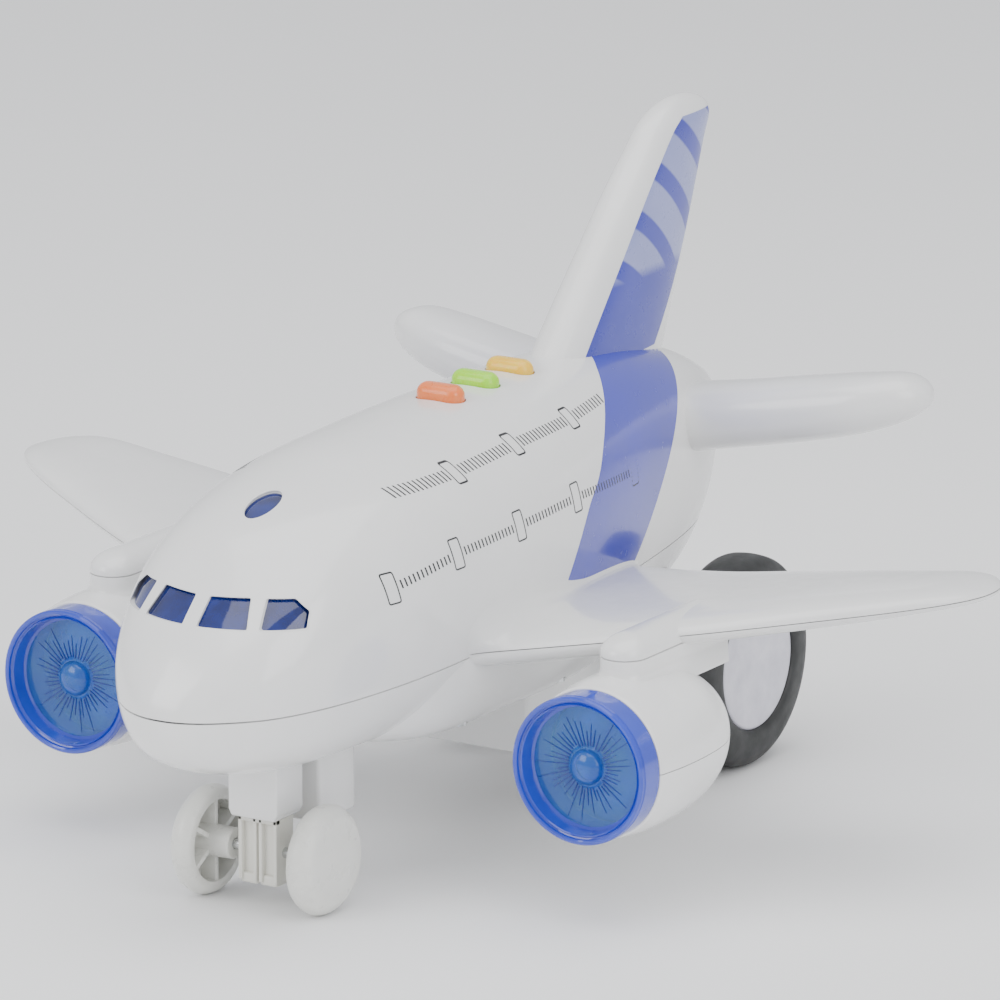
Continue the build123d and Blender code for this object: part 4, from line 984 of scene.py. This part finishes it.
def row_of_prints(doors, size, ends):
    marks = []
    stops = [ends[0]] if ends[0] else []
    stops += doors
    stops += [ends[1]] if ends[1] else []
    for y, z in doors:
        outer = door_outline(y, z, size, 0.0)
        shrunk = door_outline(y, z, size, LINE)
        inner = [min(shrunk, key=lambda q: (q[0] - p[0]) ** 2 + (q[1] - p[1]) ** 2) for p in outer]
        marks.append(ring_print(outer, inner))
    for (y0, z0), (y1, z1) in zip(stops, stops[1:]):
        start = y0 + (size[0] / 2 + 1.6 if (y0, z0) in doors else 0)
        end = y1 - (size[0] / 2 + 1.6 if (y1, z1) in doors else 0)
        count = int((end - start) / TICK_PITCH)
        for k in range(count + 1):
            y = start + (end - start) * k / count
            z = z0 + (z1 - z0) * (y - y0) / (y1 - y0)
            mesh = bmesh.new()
            half_w, half_h = TICK[0] / 2, TICK[1] / 2
            rows = []
            for rise in (-1.0, -0.5, 0.0, 0.5, 1.0):
                ends_of_row = ((y + width - 0.3 * rise, z + rise * half_h) for width in (-half_w, half_w))
                rows.append([mesh.verts.new(on_skin(*point, TICK_LIFT)) for point in ends_of_row])
            for near, far in zip(rows, rows[1:]):
                mesh.faces.new((near[0], near[1], far[1], far[0]))
            marks.append(mesh)
    return marks


marks = row_of_prints(LOWER_DOORS, DOOR_SIZE, (None, None))
marks += row_of_prints(UPPER_DOORS, UPPER_DOOR_SIZE, UPPER_ENDS)
prints = joined(*marks)
bmesh.ops.remove_doubles(prints, verts=prints.verts, dist=1e-5)
for face in prints.faces:
    face.normal_update()
    if face.normal.x < 0:
        face.normal_flip()
prints = modified(prints, "SOLIDIFY", thickness=PRINT_THICKNESS, offset=-1.0)
piece_pair("window_prints", prints, "airframe", print_ink)

# ------------------------------------------------------------------ glazing
glass_rows = []
for row_index in range(14):
    z = 84.9 + (94.3 - 84.9) * row_index / 13
    glass_rows.append([(x, nose_y(x, z, GLAZING_INSET * 0.75), z)
                       for x in (-29.2 + 58.4 * k / 80 for k in range(81))])
glass = sheet_mesh(glass_rows, GLAZING_THICKNESS)
piece("cockpit_glazing", glass, "airframe", window_blue, ["cockpit_window"])
oval_rows = []
for row_index in range(15):
    y = TOP_WINDOW_Y - half_y - 1.6 + (2 * half_y + 3.2) * row_index / 14
    oval_rows.append([(x, y, top_z(x, y, GLAZING_INSET * 0.6))
                      for x in (-6.1 + 12.2 * k / 12 for k in range(13))])
piece("top_glazing", sheet_mesh(oval_rows, GLAZING_THICKNESS), "airframe", window_blue,
      ["top_window"])


# ------------------------------------------------------------------ engines
def nacelle_profile(inset):
    rows = []
    for index in range(40):
        y = NACELLE[0][0] + (NACELLE[-1][0] - NACELLE[0][0]) * index / 39
        forward = inset * 1.2 if y > -20 else 0.0
        rows.append((y - forward, smooth_row(NACELLE, plain, y)[1] - inset))
    return rows


def nacelle():
    outer = nacelle_profile(0)
    inner = nacelle_profile(WALL)
    front_y, front_radius = outer[0]
    outer[0] = (front_y, front_radius - 0.35)
    outer.insert(1, (front_y + 0.35, front_radius))
    inner[0] = (front_y, front_radius - WALL)
    closed_end = [(outer[-1][0] + 1.1, 6.0), (outer[-1][0] + 1.5, 3.0), (outer[-1][0] + 1.6, 0.02)]
    inner_end = [(inner[-1][0] - 0.4, 3.0), (inner[-1][0] - 0.4, 0.02)]
    return turned(outer + closed_end + inner_end[::-1] + inner[::-1], (ENGINE_X, 0, ENGINE_Z))


def pylon():
    """Strut between nacelle and wing, its rear slanting back as it rises."""
    levels = [(60.0, 1.6, 1.5), (64.6, 2.0, 0.9), (65.3, 3.0, 0.35), (66.2, 5.0, 0.0), (67.5, 9.0, 0.0),
              (PYLON_SEAM_Z - 0.45, 11.5, 0.0), (PYLON_SEAM_Z - 0.2, 12.0, 0.0),
              (PYLON_SEAM_Z - 0.1, 12.0, -0.3)]
    rings = []
    for z, rear, flare in levels:
        radius = PYLON_HALF_WIDTH + flare
        ring = []
        for k in range(21):
            angle = math.pi * k / 20
            ring.append((ENGINE_X + radius * math.cos(angle),
                         PYLON_FRONT_Y + PYLON_HALF_WIDTH - radius * math.sin(angle), z))
        ring += [(ENGINE_X - radius, rear - 1.5, z), (ENGINE_X - radius + 1.5, rear, z),
                 (ENGINE_X + radius - 1.5, rear, z), (ENGINE_X + radius, rear - 1.5, z)]
        rings.append(ring)
    return skin(rings)


shape = nacelle()
nacelle_top = halved(shape.copy(), (0, 0, ENGINE_Z), (0, 0, 1), THIN_GAP)
nacelle_bottom = halved(shape, (0, 0, ENGINE_Z), (0, 0, -1), THIN_GAP)
piece_pair("nacelle_upper_skin", joined(nacelle_top, pylon()), "airframe", white_shell,
           ["nacelle_upper"])
piece_pair("nacelle_lower_skin", nacelle_bottom, "airframe", white_shell, ["nacelle_lower"])

lens_ring = [
    (-56.9, 20.3), (-57.2, 20.5), (-64.0, 20.5), (-64.4, 20.1), (-64.8, 20.5), (-65.4, 20.4), (-65.8, 20.0),
    (-65.8, 19.4), (-65.5, 19.0), (-64.7, 18.9), (-64.5, 18.5), (-64.9, 18.2), (-64.6, 17.9),
    (-60.6, 17.4), (-60.4, 16.6), (-58.0, 16.6), (-58.0, 17.2), (-51.2, 17.5), (-51.0, 19.0), (-56.9, 19.0),
]
disc = [(-60.3, 17.2), (-60.1, 6.0), (-60.6, 5.4)]
disc += [(-60.6 - 3.0 * math.sin(a), 5.0 * math.cos(a)) for a in (math.pi / 2 * k / 10 for k in range(10))]
disc += [(-63.6, 0.02), (-62.4, 0.02)]
disc += [(-59.6 - 2.8 * math.sin(a), 4.0 * math.cos(a))
         for a in (math.pi / 2 * k / 8 for k in range(7, -1, -1))]
disc += [(-58.9, 6.0), (-59.0, 17.2)]
piece_pair("fan_cover_ring", turned(lens_ring, (ENGINE_X, 0, ENGINE_Z), segments=128), "airframe",
           lens_ring_blue, ["fan_cover"], 30)
piece_pair("fan_disc", turned(disc, (ENGINE_X, 0, ENGINE_Z), segments=128), "airframe", lens_disc_blue,
           sharp=30)

random.seed(7)
BLADES = 44
blades = []
for index in range(BLADES):
    angle = 2 * math.pi * (index + random.uniform(-0.15, 0.15)) / BLADES
    reach = random.uniform(9.5, 16.4)
    start = random.uniform(5.2, 6.6)
    blade = box(start, reach, -0.32, 0.0, -0.17, 0.17)
    for vertex in blade.verts:
        if vertex.co.x > start + 1:
            vertex.co.z *= 0.45
            vertex.co.z += 0.5
    bmesh.ops.rotate(blade, cent=(0, 0, 0), matrix=Matrix.Rotation(-angle, 3, "Y"), verts=blade.verts)
    bmesh.ops.translate(blade, vec=(ENGINE_X, -60.05, ENGINE_Z), verts=blade.verts)
    blades.append(blade)
piece_pair("fan_blades", joined(*blades), "airframe", blade_blue)

cone = [(-50.4, 17.3), (-51.6, 12.0), (-50.6, 7.0), (-48.0, 3.0), (-47.6, 3.0), (-50.2, 7.0), (-51.2, 12.0),
        (-50.0, 17.3)]
piece_pair("reflector_film", turned(cone, (ENGINE_X, 0, ENGINE_Z)), "airframe", foil, ["reflector"])

# ------------------------------------------------------------------ buttons
for colour, button_y in BUTTON_YS.items():
    levels = [(116.8, -1.5), (118.2, -1.5), (118.21, 0.0), (BUTTON_TOP_Z - 3.0, 0.0)]
    levels += [(BUTTON_TOP_Z - 3.0 + 3.0 * math.sin(a), 3.1 * (1 - math.cos(a)))
               for a in (math.pi / 2 * k / 10 for k in range(1, 11))]
    rings = [[(x, y, z) for x, y in stadium(0, button_y, BUTTON_LENGTH, BUTTON_WIDTH, inset)]
             for z, inset in levels]
    piece(f"button_{colour}_cap", skin(rings), f"button_{colour}_body", button_colours[colour],
          [f"button_{colour}"])

# ------------------------------------------------------------------ nose gear
leg = [
    box(-6.2, 6.2, NOSE_WHEEL_Y - 2.6, NOSE_WHEEL_Y + 4.2, 7.4, 25.1, 0.3),
    box(-4.6, 4.6, NOSE_WHEEL_Y - 3.0, NOSE_WHEEL_Y + 3.0, 24, 38, 0.2),
]
for x0, x1 in ((-6.2, -5.0), (-1.5, -0.35), (0.35, 1.5), (5.0, 6.2)):
    leg.append(box(x0, x1, NOSE_WHEEL_Y - 4.2, NOSE_WHEEL_Y - 2.4, 7.0, 25.1, 0.25))
leg.append(box(-6.2, 6.2, NOSE_WHEEL_Y - 4.2, NOSE_WHEEL_Y - 2.4, 23.6, 25.1, 0.25))
for x0, x1 in ((-5.9, -0.4), (0.4, 5.9)):
    leg.append(box(x0, x1, NOSE_WHEEL_Y - 3.6, NOSE_WHEEL_Y + 3.6, 6.0, 9.0, 0.7))
piece("nose_leg_skin", joined(*leg), "airframe", cream, ["nose_leg"])

outer_x = NOSE_WHEEL_OUTER_X
wheel = [(outer_x - 0.45, 0.02), (outer_x - 0.35, 6.0), (outer_x - 0.35, 11.6), (outer_x - 0.6, 12.3)]
for k in range(15):
    t = k / 14
    wheel.append((bezier(outer_x - 1.0, outer_x - 2.6, 18.2, NOSE_WHEEL_INNER_X + 0.3, t),
                  bezier(12.9, 15.1, 16.2, 13.9, t)))
wheel += [(NOSE_WHEEL_INNER_X, 13.3), (NOSE_WHEEL_INNER_X, 11.8), (NOSE_WHEEL_INNER_X + 0.3, 11.4),
          (outer_x - 2.4, 11.0), (outer_x - 2.4, 4.6), (10.2, 4.3), (9.8, 3.9), (9.8, 1.6),
          (outer_x - 2.2, 1.6), (outer_x - 2.2, 0.02)]
limit = max(radius for _, radius in wheel)
wheel = [(x, radius * NOSE_WHEEL_RADIUS / limit if radius > 13.5 else radius) for x, radius in wheel]
nose_wheel = turned(wheel, (0, NOSE_WHEEL_Y, NOSE_WHEEL_RADIUS), "x", 96)
spokes = []
for index in range(6):
    spoke = box(NOSE_WHEEL_INNER_X + 0.6, outer_x - 2.2, -0.7, 0.7, 4.0, 11.6, 0.25)
    bmesh.ops.rotate(spoke, cent=(0, 0, 0), matrix=Matrix.Rotation(math.pi * index / 3, 3, "X"),
                     verts=spoke.verts)
    bmesh.ops.translate(spoke, vec=(0, NOSE_WHEEL_Y, NOSE_WHEEL_RADIUS), verts=spoke.verts)
    spokes.append(spoke)
piece_pair("nose_wheel_skin", joined(nose_wheel, *spokes), "nose_axle_body", grey_disc,
           ["nose_wheel"])

# ------------------------------------------------------------------ rear wheels
tread = REAR_WHEEL_RADIUS - 0.2     # radius at the tread's two edges
tyre_profile = [(TYRE_INNER_X, tread - 5.8), (TYRE_INNER_X + 1.4, HUB_RADIUS), (TYRE_OUTER_X - 1.2, HUB_RADIUS),
                (TYRE_OUTER_X - 0.5, 19.9), (TYRE_OUTER_X - 0.05, 21.0), (TYRE_OUTER_X, 22.5)]
for k in range(13):
    t = k / 12
    tyre_profile.append((bezier(TYRE_OUTER_X - 0.1, TYRE_OUTER_X - 0.5, TYRE_OUTER_X - 2.4,
                                TYRE_OUTER_X - 5.2, t),
                         bezier(tread - 5.8, tread - 1.8, tread - 0.2, tread, t)))
for k in range(1, 7):
    t = k / 6
    tyre_profile.append((TYRE_OUTER_X - 5.2 + (TYRE_INNER_X + 5.2 - TYRE_OUTER_X + 5.2) * t,
                         tread + 0.2 * math.sin(math.pi * t)))
for k in range(1, 9):
    t = k / 8
    tyre_profile.append((bezier(TYRE_INNER_X + 5.2, TYRE_INNER_X + 2.4, TYRE_INNER_X + 0.6,
                                TYRE_INNER_X + 0.1, t),
                         bezier(tread, tread - 0.2, tread - 1.8, tread - 4.8, t)))
tyre_centre = (0, REAR_WHEEL_Y, REAR_WHEEL_RADIUS)
piece_pair("tyre_skin", turned(tyre_profile, tyre_centre, "x", 128), "rear_axle_body", tyre_rubber,
           ["tyre"])
hub_profile = [(TYRE_OUTER_X - 1.7, 0.02), (TYRE_OUTER_X - 1.5, 8.0), (TYRE_OUTER_X - 1.1, 15.5),
               (TYRE_OUTER_X - 0.8, 18.4), (TYRE_OUTER_X - 1.0, 19.0), (TYRE_OUTER_X - 1.6, HUB_RADIUS),
               (TYRE_INNER_X + 2, HUB_RADIUS), (TYRE_INNER_X + 2, 17.6), (TYRE_OUTER_X - 3.6, 17.4),
               (TYRE_OUTER_X - 3.6, 4.4), (17.2, 4.0), (17.2, AXLE_RADIUS), (TYRE_OUTER_X - 4, AXLE_RADIUS),
               (TYRE_OUTER_X - 4, 0.02)]
piece_pair("rear_hub_skin", turned(hub_profile, tyre_centre, "x", 96), "rear_axle_body", hub_plastic,
           ["rear_hub"])

# ------------------------------------------------------------------ CAD nodes that keep their shape
NODE_MATERIALS = {
    "button_pad": silicone, "button_board": circuit_board, "main_board": circuit_board,
    "sound_chip": epoxy, "board_screws": steel, "shell_screws": steel, "battery_door_screw": steel,
    "battery_contacts": steel, "battery_cells": cell_wrap, "battery_door": white_shell,
    "speaker": speaker_metal, "nose_axle": steel, "rear_axle": steel, "reduction_pin": steel,
    "flywheel_pin": steel, "flywheel": steel, "gearbox_port": gear_plastic,
    "gearbox_starboard": gear_plastic, "axle_gear": gear_plastic, "reduction_gear": gear_plastic,
    "flywheel_pinion": gear_plastic, "engine_led_port": led_epoxy, "engine_led_starboard": led_epoxy,
    "cabin_led": led_epoxy,
}
for node, material in NODE_MATERIALS.items():
    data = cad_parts[node].data
    data.materials.clear()
    data.materials.append(material)

# ------------------------------------------------------------------ stage, light and camera
floor_mesh = bmesh.new()
bmesh.ops.create_grid(floor_mesh, x_segments=8, y_segments=8, size=6.0)
floor_data = bpy.data.meshes.new("floor")
floor_mesh.to_mesh(floor_data)
floor_mesh.free()
floor = bpy.data.objects.new("floor", floor_data)
bpy.context.scene.collection.objects.link(floor)
floor_shader = Shader("floor_paint")
floor_shader.colour(floor_shader.mix(floor_shader.ranged(floor_shader.noise(3), 0, 1), (0.96, 0.96, 0.96),
                                     (0.945, 0.945, 0.945)))
floor_shader.set(Roughness=0.8)
floor_data.materials.append(floor_shader.material)

AIM = Vector((0.0, 0.02884, 0.08666))


def area_light(name, place, size, power, aim=AIM):
    data = bpy.data.lights.new(name, "AREA")
    data.shape = "RECTANGLE"
    data.size, data.size_y = size
    data.energy = power
    light = bpy.data.objects.new(name, data)
    bpy.context.scene.collection.objects.link(light)
    light.location = place
    light.rotation_mode = "QUATERNION"
    light.rotation_quaternion = (aim - Vector(place)).to_track_quat("-Z", "Y")


area_light("overhead_softbox", (0.1, -0.1, 1.5), (1.6, 1.6), 16)
area_light("front_softbox", (-0.7, -1.3, 0.9), (0.9, 0.9), 10)
area_light("side_softbox", (1.5, -0.5, 0.8), (0.9, 1.2), 10)

world = bpy.data.worlds.new("studio")
world.use_nodes = True
world.node_tree.nodes["Background"].inputs["Color"].default_value = (0.95, 0.965, 1.0, 1.0)
world.node_tree.nodes["Background"].inputs["Strength"].default_value = 0.85
bpy.context.scene.world = world

TO_CAMERA = Vector((0.5135, -0.8218, 0.2470))
CAMERA_DISTANCE = 2.24
camera_data = bpy.data.cameras.new("camera")
camera_data.lens = 288
camera_data.sensor_width = 36
camera = bpy.data.objects.new("camera", camera_data)
bpy.context.scene.collection.objects.link(camera)
camera.location = AIM + TO_CAMERA * CAMERA_DISTANCE
camera.rotation_mode = "QUATERNION"
camera.rotation_quaternion = (-TO_CAMERA).to_track_quat("-Z", "Y")
bpy.context.scene.camera = camera
